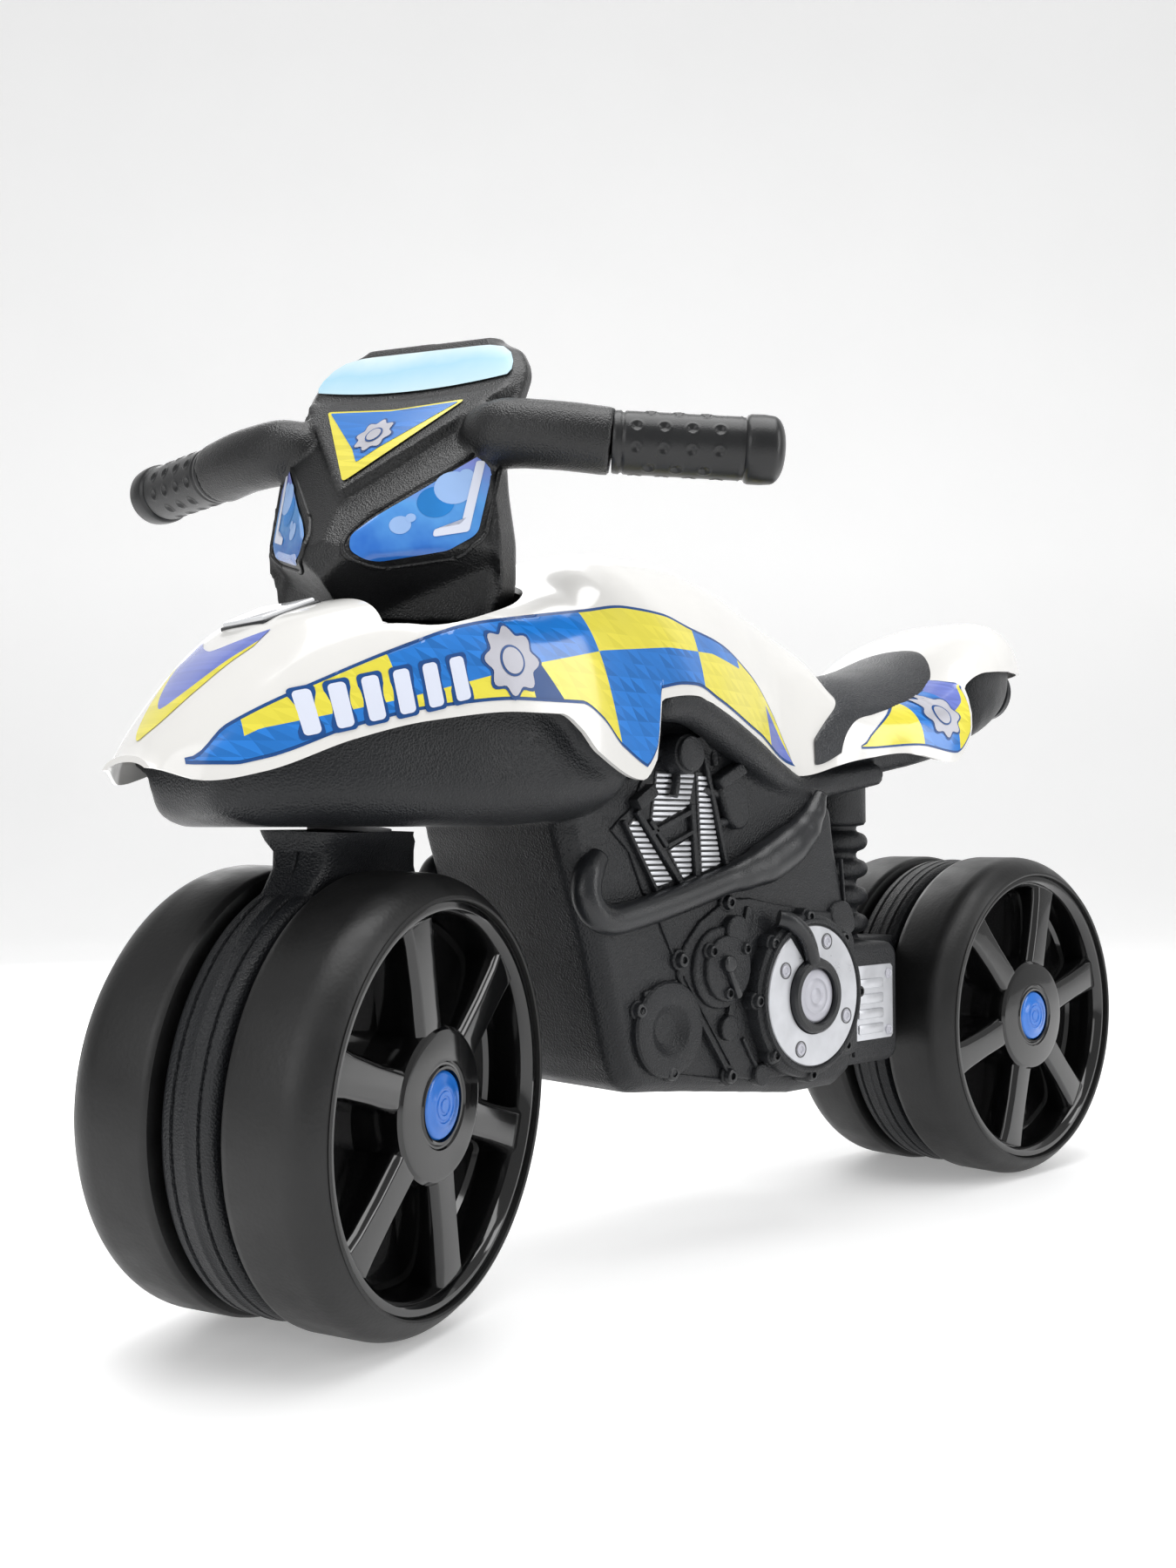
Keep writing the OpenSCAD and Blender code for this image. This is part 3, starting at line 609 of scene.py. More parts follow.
def finish_node(name, material):
    """Gives a carried-over CAD node its material."""
    node = frame["nodes"][name]
    node.data.materials.clear()
    node.data.materials.append(material)


# ---- cover ----

def opening_cutter():
    radius, front, low, high = 79.0, 38.0, 200.0, 300.0
    start = math.asin(front / radius)
    arc = [(radius * math.cos(a), radius * math.sin(a)) for a in spread(-start, math.pi + start, 72)]
    rings = [[(x, y, z) for x, y in arc] for z in (low, high)]
    return skin("opening_cutter", rings, WHITE, on_steer_axis)


def top_cover():
    """The cover's shell, open around the steering head."""
    steps, arc = 260, 84
    rings = []
    for y in spread(-107, 590, steps):
        outer, inner = dome(y), dome(y, COVER_WALL)
        edge = smooth(EDGE_LINE, y)
        a, b = dome_start(outer, edge), dome_start(inner, edge)
        ring = [(p[0], y, p[1]) for p in (dome_point(outer, t) for t in spread(a, math.pi - a, arc))]
        ring += [(p[0], y, p[1]) for p in (dome_point(inner, t) for t in spread(math.pi - b, b, arc))]
        rings.append(ring)
    count = len(rings[0])
    verts = [world(p) for ring in rings for p in ring]
    faces = ring_faces(len(rings), count)
    for base in (0, (len(rings) - 1) * count):
        for j in range(arc):
            strip = (base + j, base + j + 1, base + count - 2 - j, base + count - 1 - j)
            faces.append(strip)
    piece = mesh_piece("top_cover_shell", verts, faces, [WHITE])
    outward(piece)
    cut_away(piece, opening_cutter())
    crease(piece, 40)
    place(piece, "frame", "cover_white", "top_cover")


# ---- printed sheets on the cover ----

LABEL_TOP = [(-96, 272), (-81, 287), (-45, 308), (-7, 326), (24, 337), (54, 343), (96, 350), (128, 355),
             (157, 354), (178, 350), (217, 343), (247, 329), (274, 308), (290, 286), (297, 275)]
LABEL_LOW_LIFT = 5.5
MID_LINE = [(-96, 270), (-70, 285), (-11, 300), (55, 319), (101, 329), (154, 335), (200, 336), (247, 328),
            (297, 276)]


def label_low(y):
    """The lower rim of the side sheet, a little above the cover's edge."""
    return max(smooth(EDGE_LINE, y) + LABEL_LOW_LIFT, 269.0)


def fan(sheet, outline, centre, index, put, rings=4):
    """A small printed shape: rings of places around its centre, put on a surface."""
    verts, faces, indices = sheet
    base, count = len(verts), len(outline)
    for k in range(1, rings + 1):
        t = k / rings
        for a, b in outline:
            verts.append(put(centre[0] + (a - centre[0]) * t, centre[1] + (b - centre[1]) * t))
    hub = len(verts)
    verts.append(put(*centre))
    for j in range(count):
        faces.append((hub, base + j, base + (j + 1) % count))
        indices.append(index)
    for r in range(rings - 1):
        for j in range(count):
            k = (j + 1) % count
            a = base + r * count
            faces.append((a + j, a + count + j, a + count + k, a + k))
            indices.append(index)


def on_side(lift, side):
    """Puts a (y, z) place on the cover's side."""
    return lambda y, z: world(cover_at_height(y, z, lift, side))


def grid(sheet, base, across, up, index_of, flip=False):
    """Quads over a grid of places that starts at one vertex."""
    _, faces, indices = sheet
    for i in range(across):
        for j in range(up):
            a = base + i * (up + 1) + j
            quad = (a, a + up + 1, a + up + 2, a + 1)
            faces.append(quad[::-1] if flip else quad)
            indices.append(index_of(j))


def side_sheet(side_name, side):
    """The long side sheet, as rows of cells between leaning column lines."""
    lean = 0.27
    ink_rim = 1.6
    columns = [(-96, 0.0), (-76, 0.0), (-12, lean), (52, lean), (60, 0.75), (98, lean), (134, lean * 0.4),
               (162, -0.1), (184, 0.05), (232, 0.15), (262, 0.2), (296, 0.2)]
    upper = [BLUE, YELLOW, BLUE, INK, BLUE, YELLOW, YELLOW, YELLOW, BLUE, YELLOW, YELLOW]
    lower = [BLUE, BLUE, YELLOW, INK, YELLOW, BLUE, BLUE, BLUE, YELLOW, YELLOW, LILAC]
    materials = [INK, BLUE, YELLOW, LILAC]
    sheet = verts, faces, indices = [], [], []

    def strip(col, is_upper, material, lift, rim):
        """One cell of a column, under or over its middle line."""
        y_a, y_b = columns[col], columns[col + 1]
        across, up = max(int((y_b[0] - y_a[0]) / 2.5), 2), 14
        base = len(verts)
        for i in range(across + 1):
            s = i / across
            for j in range(up + 1):
                t = j / up
                y_mid = y_a[0] + (y_b[0] - y_a[0]) * s
                lean_here = y_a[1] + (y_b[1] - y_a[1]) * s
                low, mid, high = label_low(y_mid) + rim, straight(MID_LINE,
                                                                  y_mid), smooth(LABEL_TOP, y_mid) - rim
                mid = min(max(mid, low), high)
                bottom, top = (mid, high) if is_upper else (low, mid)
                z = bottom + (top - bottom) * t
                y = y_mid - lean_here * (z - mid)
                low_here = label_low(y) + rim
                high_here = smooth(LABEL_TOP, min(max(y, -96), 297)) - rim
                z = min(max(z, low_here), max(high_here, low_here))
                verts.append(world(cover_at_height(y, z, lift, side)))
        grid(sheet, base, across, up, lambda j: materials.index(material), side < 0)

    for col in range(len(columns) - 1):
        strip(col, False, lower[col], 0.45, ink_rim)
        strip(col, True, upper[col], 0.45, ink_rim)
        strip(col, False, INK, 0.25, 0.0)
        strip(col, True, INK, 0.25, 0.0)
    piece = mesh_piece("side_sheet_" + side_name, verts, faces, materials, indices)
    place(piece, "frame", "label_blue")


def ellipse(centre, ry, rz, count=40, lobes=0, depth=0.0):
    points = []
    for i in range(count):
        a = 2 * math.pi * i / count
        swell = 1 + depth * math.cos(lobes * a)
        points.append((centre[0] + ry * swell * math.cos(a), centre[1] + rz * swell * math.sin(a)))
    return points


def rosette(sheet, centre, size, side, ink, silver):
    """A plain eight-lobed disc with a ring, in place of a crest."""
    for grow, index, lift in ((1.12, ink, 0.65), (1.0, silver, 0.95)):
        outline = ellipse(centre, size * grow, size * 1.12 * grow, 64, 8, 0.12)
        fan(sheet, outline, centre, index, on_side(lift, side))
    for grow, index, lift in ((0.5, ink, 1.15), (0.42, silver, 1.35)):
        outline = ellipse(centre, size * grow, size * 1.12 * grow, 48)
        fan(sheet, outline, centre, index, on_side(lift, side))


def side_marks(side_name, side):
    """White slanted bars in place of lettering, and the rosette."""
    sheet = verts, faces, indices = [], [], []
    materials = [INK, STROKE, BADGE_SILVER]
    bar_count = 6
    for i in range(bar_count):
        y = -52 + 13.5 * i
        z = 292.5 + 3.5 * i
        for grow, index, lift in ((1.7, 0, 0.7), (0.0, 1, 0.95)):
            w, h, lean = 3.6 + grow, 10.0 + grow, 1.5
            outline = []
            for cy, cz, start in ((w - 2, h - 2, 0), (-w + 2, h - 2, 90), (-w + 2, -h + 2, 180),
                                  (w - 2, -h + 2, 270)):
                for k in range(5):
                    a = math.radians(start + 22.5 * k)
                    dy, dz = cy + 2 * math.cos(a), cz + 2 * math.sin(a)
                    outline.append((y + dy - lean * dz / h, z + dz + dy * 0.26))
            fan(sheet, outline, (y, z), index, on_side(lift, side))
    rosette(sheet, (44, 320), 13.5, side, 0, 2)
    piece = mesh_piece("side_marks_" + side_name, verts, faces, materials, indices)
    if side < 0:
        piece.data.flip_normals()
    place(piece, "frame", "label_silver")


REAR_LOW = [(357, 290), (400, 293), (430, 289), (444, 301), (455, 334)]
REAR_HIGH = [(357, 292), (366, 300), (380, 310), (407, 326), (445, 343), (455, 337)]


def rear_sheet(side_name, side):
    """The checked sheet behind the seat, and its rosette."""
    materials = [INK, BLUE, YELLOW, LILAC]
    sheet = verts, faces, indices = [], [], []
    cells = [(357, 404, (2, 2)), (404, 434, (1, 1)), (434, 455, (2, 3))]
    for rim, lift in ((0.0, 0.25), (1.3, 0.45)):
        for y0, y1, colours in cells:
            for half in (0, 1):
                across, up = 12, 10
                base = len(verts)
                for i in range(across + 1):
                    y = y0 + (y1 - y0) * i / across
                    low, high = smooth(REAR_LOW, y) + rim, smooth(REAR_HIGH, y) - rim
                    high = max(high, low)
                    mid = (low + high) / 2
                    a, b = (low, mid) if half == 0 else (mid, high)
                    for j in range(up + 1):
                        z = a + (b - a) * j / up
                        verts.append(world(cover_at_height(y, z, lift, side)))
                ink = 0 if rim == 0 else colours[half]
                grid(sheet, base, across, up, lambda j: ink, side < 0)
    piece = mesh_piece("rear_sheet_" + side_name, verts, faces, materials, indices)
    place(piece, "frame", "label_blue")
    sheet = verts, faces, indices = [], [], []
    rosette(sheet, (424, 313), 11.5, side, 0, 1)
    marks = mesh_piece("rear_marks_" + side_name, verts, faces, [INK, BADGE_SILVER], indices)
    if side < 0:
        marks.data.flip_normals()
    place(marks, "frame", "label_silver")


def nose_sheet():
    """The arrow-shaped sheet on the nose, yellow at its tip."""
    sheet = verts, faces, indices = [], [], []
    materials = [LILAC, YELLOW]
    across, along, yellow_rows = 32, 20, 6
    half = 30.0
    for i in range(across + 1):
        x = -half + 2 * half * i / across
        k = abs(x) / half
        rear = -64 + 14 * k ** 1.5
        front = -101 + 42 * k ** 1.6
        front = min(front, rear - 0.5)
        for j in range(along + 1):
            y = front + (rear - front) * j / along
            reach = smooth(WIDTH_LINE, y) * 0.93
            verts.append(world(cover_at_width(min(max(x, -reach), reach), y, 0.4)))
    grid(sheet, 0, across, along, lambda j: 1 if j < yellow_rows else 0)
    piece = mesh_piece("nose_sheet", verts, faces, materials, indices)
    place(piece, "frame", "label_blue")


def nose_badge():
    """A raised blank tile in a dark surround."""
    def tile(grow, low, high, material, name):
        outline = [(-18, -46), (18, -46), (24, -21), (-24, -21)]
        centre = (0, -34)
        count = len(outline)
        verts = []
        for lift in (low, high):
            for x, y in outline:
                px, py = centre[0] + (x - centre[0]) * grow, centre[1] + (y - centre[1]) * grow
                verts.append(world(cover_at_width(px, py, lift)))
        faces = [tuple(range(count)), tuple(range(2 * count - 1, count - 1, -1))]
        for i in range(count):
            k = (i + 1) % count
            faces.append((i, k, count + k, count + i))
        piece = mesh_piece(name, verts, faces, [material])
        outward(piece)
        round_edges(piece, 1.4, 3)
        return piece

    surround = tile(1.10, -2.0, 1.6, BLACK_SMOOTH, "badge_surround")
    face = tile(1.0, -1.0, 3.2, BADGE, "badge_tile")
    place(join("nose_badge_tile", [surround, face]), "frame", "badge_white", "nose_badge")


top_cover()
for side_name, side in SIDES:
    side_sheet(side_name, side)
    side_marks(side_name, side)
    rear_sheet(side_name, side)
nose_sheet()
nose_badge()


# ---- body ----

WELL_RADIUS = 93

def body_ring(y, under=16, over=26):
    d = dome(y, BODY_GAP)
    low = smooth(UNDER_LINE, y)
    edge = max(smooth(EDGE_LINE, y) + 2, low + 6)
    start = dome_start(d, edge + 6)
    wide = min(smooth(UNDER_WIDTH, y), dome_point(d, start)[0])
    half = [(wide * (1 - 0.35 * (1 - math.sin(t))), low + min(edge - low, 22) * (1 - math.cos(t)))
            for t in spread(0, math.pi / 2, under)]
    half.append((wide, edge))
    half += [dome_point(d, t) for t in spread(start, math.radians(86), over)]
    return [(x, y, z) for x, z in half] + [(-x, y, z) for x, z in reversed(half)]


def engine_block():
    """The flat-sided engine with bevelled borders."""
    bevel, centre, shrink = 9.0, (235, 180), 0.93
    outline = [(156, 99), (147, 104), (141, 118), (125, 178), (112, 216), (104, 240), (104, 300),
               (215, 300), (330, 256), (334, 230), (350, 172), (350, 92), (335, 84), (290, 84), (198, 95)]
    small = [(centre[0] + (y - centre[0]) * shrink, centre[1] + (z - centre[1]) * shrink) for y,
             z in outline]
    rings = []
    for x, shape in ((-ENGINE_HALF, small), (-ENGINE_HALF + bevel, outline), (ENGINE_HALF - bevel, outline),
                     (ENGINE_HALF, small)):
        rings.append([(x, y, z) for y, z in shape])
    return skin("engine_block", rings, BLACK)


FRAME_TUBE = [(148, 78, 302, 6), (156, 82, 306, 10), (176, 80, 306, 10), (200, 76, 299, 10),
              (240, 68, 284, 10),
              (275, 58, 271, 10), (305, 51, 264, 9), (340, 48, 268, 8), (380, 56, 275, 7)]


def main_body():
    """Upper body, engine block and raised tubes, melted into one moulding."""
    upper = skin("upper_body", [body_ring(y) for y in spread(-80, 588, 230)], BLACK)
    pieces = [upper, engine_block()]
    for _, side in SIDES:
        run = [(side * x, y, z, r) for y, x, z, r in FRAME_TUBE]
        pieces.append(sweep("frame_tube", run, BLACK, world))
    piece = join("main_body_shell", pieces)
    well = skin("well", [[(WELL_RADIUS * math.cos(a), WELL_RADIUS * math.sin(a),
                           z) for a in spread(0, 2 * math.pi * 71 / 72, 71)]
                         for z in (222, 345)], BLACK, on_steer_axis)
    melt(piece, 2.4)
    cut_away(piece, well)
    crease(piece, 50)
    place(piece, "frame", "body_black", "main_body")


def seat_top(y):
    return smooth([(316, 327), (352, 338), (400, 343), (440, 352), (480, 368), (500, 376)], y)


def seat_pad():
    """The pad, rounded at its rim and lower towards its sides."""
    half, rows = 57.0, 44
    rings = []
    for x in spread(-half, half, 70):
        k = abs(x) / half
        front = 352 - 36 * k ** 1.3
        rear = 494 - 42 * k ** 2.2
        drop = 24 * k ** 3
        ring = []
        for t in spread(0, 1, rows):
            y = front + (rear - front) * t
            ring.append((x, y, seat_top(y) - drop - 10 * abs(2 * t - 1) ** 6))
        for t in spread(1, 0, rows):
            y = front + (rear - front) * t
            ring.append((x, y, seat_top(y) - drop - 24))
        rings.append(ring)
    piece = skin("seat_pad_grained", rings, SEAT)
    crease(piece, 60)
    place(piece, "frame", "seat_grain", "seat_pad")


# ---- engine side ----

def sided(side):
    return lambda p: world((side * p[0], p[1], p[2]))


def turned_on_side(name, y, z, profile, material, side, steps=64):
    """A turned boss on the engine side: rows of radius and distance from the centre plane."""
    return lathe(name, profile, material, sided(side), steps, (0, y, z), "X")


def boss(y, z, base, top, radius, material, side, edge=1.2, steps=64):
    profile = [(0, top), (radius - edge, top)]
    profile += [(radius - edge + edge * math.sin(a),
                 top - edge + edge * math.cos(a)) for a in spread(0.3, math.pi / 2, 5)]
    profile += [(radius, base), (0, base)]
    return turned_on_side("boss", y, z, profile, material, side, steps)


def bolt(y, z, base, side, material=None, radius=4.0):
    """A round boss with a socket in its head."""
    material = material or BLACK_SMOOTH
    top = base + 3.2
    profile = [(0, top - 1.8), (1.9, top - 1.8), (2.0, top - 0.1), (2.3, top), (radius - 1.1, top),
               (radius - 0.3, top - 0.4),
               (radius, top - 1.3), (radius + 0.4, base), (0, base)]
    return turned_on_side("bolt", y, z, profile, material, side, 24)


def bar_between(a, b, width, base, top, material, side, edge=0.7):
    """A straight raised rib between two (y, z) places."""
    dy, dz = b[0] - a[0], b[1] - a[1]
    size = math.hypot(dy, dz)
    ny, nz = -dz / size * width / 2, dy / size * width / 2
    outline = [(a[0] + ny, a[1] + nz), (b[0] + ny, b[1] + nz), (b[0] - ny, b[1] - nz),
               (a[0] - ny, a[1] - nz)]
    return plate("rib", outline, base, top, material, sided(side), edge, 2)


def round_outline(points, between=6):
    """A closed curve through places."""
    out = []
    count = len(points)
    for i in range(count):
        p0, p1 = Vector(points[i - 1]), Vector(points[i])
        p2, p3 = Vector(points[(i + 1) % count]), Vector(points[(i + 2) % count])
        for step in range(between):
            out.append(curve_place(p0, p1, p2, p3, step / between))
    return [(p.x, p.y) for p in out]


def arc(cy, cz, r, start, stop, steps=12):
    return [(cy + r * math.cos(math.radians(a)),
             cz + r * math.sin(math.radians(a))) for a in spread(start, stop, steps)]


PLATE_OUTLINE = [(227, 101), (214, 118), (201, 137), (190, 153), (186, 160), (188, 170), (193, 178),
                 (204, 189),
                 (219, 197), (229, 201), (247, 201), (269, 197), (300,
                                                                  192), (325, 190), (338, 184), (344, 172),
                 (346, 150), (346, 104), (300, 96), (250, 97)]
DISC_Y, DISC_Z = 290, 143
CLUTCH_BOLTS = [(257, 175), (243, 143), (257, 111), (290, 97), (323, 111), (336, 142), (322, 175),
                (289, 189)]


def timing_plate(name, side):
    """The raised plate behind the covers, with its bolts and ribs."""
    pieces = [plate("plate", PLATE_OUTLINE, 58, 64.2, BLACK, sided(side), 1.6, 3)]
    for y, z in ((227, 199), (188, 169), (227, 102)):
        pieces.append(bolt(y, z, 64.5, side))
        pieces.append(boss(y, z, 58, 64.5, 6.0, BLACK, side))
    for a, b, width, base, top in (((187, 156), (225, 104), 1.6, 63, 66.0),
                                   ((190, 160), (228, 108), 1.4, 63, 65.6),
                                   ((173, 191), (187, 166), 1.6, 61,
                                    63.4), ((238, 122), (250, 104), 2.6, 63, 66.2)):
        pieces.append(bar_between(a, b, width, base, top, BLACK, side))
    pieces.append(boss(253, 100, 62, 67.5, 6.5, BLACK, side))
    pieces.append(boss(225, 129, 62, 68, 7.2, BLACK, side))
    pieces.append(bar_between((226, 132), (229, 144), 6, 62, 67, BLACK, side))
    pieces.append(bar_between((241, 182), (245, 196), 7.0, 62, 66.5, BLACK, side, 1.6))
    pieces.append(bar_between((346, 100), (334, 222), 1.8, 60, 62.8, BLACK, side))
    piece = join("timing_plate_" + name, pieces)
    crease(piece)
    place(piece, "frame", "body_black")


def alternator(name, side):
    """The small dished cover low on the engine."""
    y, z = 178.5, 132
    rim = [(0, 60.5), (5, 60.6), (7, 61.2), (12.2, 64.6), (13.4, 65.4), (14.2, 66.0), (15.6, 66.4),
           (23.2, 66.4), (25, 65.9),
           (26, 64.6), (26.2, 60), (26.2, 57), (0, 57)]
    pieces = [turned_on_side("alternator", y, z, rim, BLACK, side, 72)]
    for by, bz in ((156, 144), (180.5, 108.5)):
        pieces.append(bolt(by, bz, 63.5, side))
        pieces.append(boss(by, bz, 57, 63.7, 5.4, BLACK, side))
    pieces.append(bar_between((182, 107), (224, 99.5), 2.0, 60, 63.6, BLACK, side))
    pieces.append(bar_between((160, 152), (186, 157), 3.0, 60, 64.2, BLACK, side))
    piece = join("alternator_" + name, pieces)
    crease(piece)
    place(piece, "frame", "body_black", "alternator_cover_" + name)


def ignition(name, side):
    """Two stacked round bosses with their bolts and a short lever."""
    y, z = 220, 163
    pieces = [boss(y - 1, z, 60, 67.5, 23, BLACK, side, 2.0, 72),
              boss(y + 1.5, z - 0.5, 62, 70.5, 18.5, BLACK, side, 1.6, 72),
              boss(y + 10, z + 20, 60, 70.0, 9.0, BLACK, side, 1.5, 40)]
    for by, bz in ((207, 173), (235, 173), (220, 149)):
        pieces.append(boss(by, bz, 62, 69.5, 4.8, BLACK, side))
        pieces.append(bolt(by, bz, 69.3, side, radius=3.3))
    pieces.append(boss(y - 1, z + 2.5, 62, 74.5, 4.8, BLACK_SMOOTH, side, 1.6))
    pieces.append(bar_between((y - 1, z + 1), (y + 8, z - 17), 5.4, 68, 73.5, BLACK_SMOOTH, side, 1.8))
    piece = join("ignition_" + name, pieces)
    crease(piece)
    place(piece, "frame", "body_black", "ignition_cover_" + name)


def clutch(name, side):
    """The round cover with its bolts, silver sheet, pipe and button."""
    y, z = DISC_Y, DISC_Z
    profile = [(0, 74.4), (41.5, 74.4), (42.2, 75.6), (43.2, 76.0), (44.4, 75.6), (45.0, 73.4),
               (46.2, 73.0),
               (47.4, 72.2), (47.8, 70.6), (47.8, 58), (0, 58)]
    pieces = [turned_on_side("clutch", y, z, profile, BLACK, side, 96)]
    for by, bz in CLUTCH_BOLTS:
        pieces.append(boss(by, bz, 60, 72.0, 5.0, BLACK, side, 1.2, 32))
        pieces.append(bolt(by, bz, 71.6, side, radius=3.6))
    ring = [(16.2, 75), (16.2, 78.6), (17.2, 79.4), (20.2, 79.4), (21.6, 78.2), (21.9, 75)]
    pieces.append(turned_on_side("ring", y, z, ring, BLACK_SMOOTH, side, 72))
    pipe = [(72, 262, 189, 5.0), (76, 268, 187, 5.0), (78, 276, 181, 4.8), (78, 282, 173, 4.6),
            (77.6, 286, 163, 4.4)]
    pieces.append(sweep("pipe", pipe, BLACK_SMOOTH, sided(side), 20, 8))
    lobe = [(320, 190), (327, 196), (336, 196), (342, 190), (344, 180), (338, 176), (326, 178)]
    pieces.append(plate("lobe", round_outline(lobe), 58, 65, BLACK, sided(side), 2.0))
    piece = join("clutch_" + name, pieces)
    crease(piece)
    place(piece, "frame", "body_black", "clutch_cover_" + name)
    sheet = [(22.2, 74.6), (22.6, 75.3), (40.4, 75.3), (40.9, 74.6)]
    face = turned_on_side("clutch_sheet", y, z, sheet, SILVER, side, 128)
    slot = plate("slot", [(y - 2.5 - 4.5, z + 18), (y - 2.5 + 5.5, z + 18), (y - 10, z + 46),
                          (y - 31, z + 46)], 70, 80, SILVER, sided(side), 0)
    cut_away(face, slot)
    pieces = [face]
    for sy, sz in ((y - 26, z + 16), (y + 12, z + 31), (y + 30, z - 14), (y - 13, z - 30)):
        screw = [(0, 75.5), (1.6, 75.5), (1.9, 76.0), (2.4, 76.2), (3.4, 76.0), (3.7, 75.3), (3.7, 75),
                 (0, 75)]
        pieces.append(turned_on_side("screw", sy, sz, screw, BADGE_SILVER, side, 24))
        ring = [(4.1, 75.2), (4.1, 75.6), (4.8, 75.6), (4.8, 75.2)]
        pieces.append(turned_on_side("screw_ring", sy, sz, ring, INK_GREY, side, 28))
    piece = join("clutch_sheet_" + name, pieces)
    crease(piece)
    place(piece, "frame", "label_silver", "clutch_label_" + name)
    button = [(0, 77.3), (3.5, 77.25), (4.2, 76.8), (5.0, 76.8), (5.6, 77.3), (9.2, 77.2), (9.8, 76.8),
              (10.6, 76.8),
              (11.2, 77.1), (14.4, 76.9), (15.8, 76.2), (16.1, 75), (0, 75)]
    piece = turned_on_side("clutch_button_" + name, y, z, button, BADGE_SILVER, side, 72)
    crease(piece, 50)
    place(piece, "frame", "label_silver")


PANELS = [[(145, 240), (153, 247), (182, 212), (167, 209)],
          [(164, 241), (195, 253), (200, 272), (169, 272)],
          [(178, 229), (189, 213), (197, 216), (196, 236)], [(201, 272), (204, 216), (221, 221),
                                                             (209, 272)]]


def inside_span(shape, z):
    """The stretch of a convex (y, z) shape at one height."""
    hits = []
    for i, a in enumerate(shape):
        b = shape[(i + 1) % len(shape)]
        if (a[1] - z) * (b[1] - z) < 0:
            hits.append(a[0] + (b[0] - a[0]) * (z - a[1]) / (b[1] - a[1]))
    return (min(hits), max(hits)) if len(hits) >= 2 else None


def head_fins(name, side):
    """Silver slats in four windows of a black frame."""
    outline = [(136, 240), (143, 246), (152, 252), (160, 268), (166, 277), (204, 277), (212, 276),
               (227, 222), (222, 215),
               (170, 200), (160, 206), (150, 228)]
    pieces = [plate("back", outline, 58, 63.6, BLACK, sided(side), 1.2)]
    for shape in PANELS:
        pieces.append(plate("window", shape, 61, 64.2, BLACK_SMOOTH, sided(side), 0.3, 1))
        z = min(p[1] for p in shape) + 1.6
        while z < max(p[1] for p in shape) - 0.6:
            low, high = inside_span(shape, z - 0.9), inside_span(shape, z + 0.9)
            if low and high and min(low[1], high[1]) - max(low[0], high[0]) > 2.2:
                slat = [(low[0] + 0.5, z - 0.95), (low[1] - 0.5, z - 0.95), (high[1] - 0.5, z + 0.95),
                        (high[0] + 0.5, z + 0.95)]
                pieces.append(plate("slat", slat, 63.8, 65.4, SILVER, sided(side), 0.45, 2))
            z += 3.0
    for a, b, width in (((153, 250), (188, 210), 3.4), ((143, 245), (168, 207), 2.2),
                        ((163, 245), (176, 231), 3.0),
                        ((196, 254), (200, 214), 3.6), ((206, 282), (225, 219),
                                                        3.2), ((164, 238), (196, 250), 3.0),
                        ((176, 231), (197, 239), 2.4), ((189, 211), (199, 214), 2.0)):
        pieces.append(bar_between(a, b, width, 62, 67.0, BLACK, side, 0.8))
    piece = join("head_fins_" + name, pieces)
    crease(piece)
    place(piece, "frame", "label_silver", "cylinder_head_" + name)


def head_knob(name, side):
    """The round plug above the fins, with its stem and the small block beside it."""
    y, z = 184, 281
    profile = [(0, 78.4), (8.4, 78.4), (9.4, 77.8), (9.8, 76.6), (9.2, 75.4), (10.6, 74.6), (11.2, 72),
               (11.4, 62), (11, 55), (0, 55)]
    pieces = [turned_on_side("knob", y, z, profile, BLACK, side, 48)]
    pieces.append(sweep("stem", [(66, 183, 272, 2.6), (68, 181, 264, 2.4), (68, 179, 258, 2.6)], BLACK,
                        sided(side), 14))
    pieces.append(bar_between((152, 253), (166, 262), 7.5, 60, 69, BLACK, side, 1.6))
    pieces.append(bar_between((150, 268), (176, 284), 4.0, 60, 66, BLACK, side, 1.2))
    piece = join("head_knob_" + name, pieces)
    crease(piece)
    place(piece, "frame", "body_black")


def breather(name, side):
    body = [(217, 266), (236, 272), (242, 249), (240, 243), (234, 240), (228, 242), (223, 248)]
    cap = [(212.5, 268), (233, 278.5), (238, 272), (217, 262)]
    pieces = [plate("bottle", round_outline(body, 5), 60, 69, BLACK, sided(side), 2.6, 4),
              plate("lid", cap, 60, 71.5, BLACK, sided(side), 1.8, 3)]
    pieces.append(sweep("tube", [(62, 219, 276, 2.8), (62, 218, 290, 2.8)], BLACK, sided(side), 16))
    pieces.append(sweep("feed", [(62, 206, 262, 3.2), (64, 213, 261, 3.2), (64, 218, 260, 3.0)], BLACK,
                        sided(side), 16))
    pieces.append(sweep("feed_low", [(62, 214, 243, 2.6), (64, 222, 244, 2.6), (64, 229, 246, 2.6)], BLACK,
                        sided(side), 16))
    piece = join("breather_bottle_" + name, pieces)
    crease(piece)
    place(piece, "frame", "body_black", "breather_" + name)


EXHAUST_RUN = [(128, 226, 0, 6), (119, 217, 2, 8), (116, 206, 4, 8), (121, 197, 5, 8), (132, 193, 5, 8),
               (150, 195, 5, 8),
               (184, 202, 5, 8), (220, 211, 5, 8), (240, 216, 6,
                                                    10), (256, 221, 6,
                                                          12), (274, 229, 6, 12), (290, 238, 5, 10),
               (303, 249, 3, 7), (313, 261, 1, 4)]


def exhaust(name, side):
    run = [(ENGINE_HALF + out, y, z, r) for y, z, out, r in EXHAUST_RUN]
    piece = sweep("exhaust_pipe_" + name, run, BLACK_SMOOTH, sided(side), 36, 8)
    place(piece, "frame", "body_black", "exhaust_" + name)


# ---- gearbox, rear fork, shock absorber and tail lamp ----

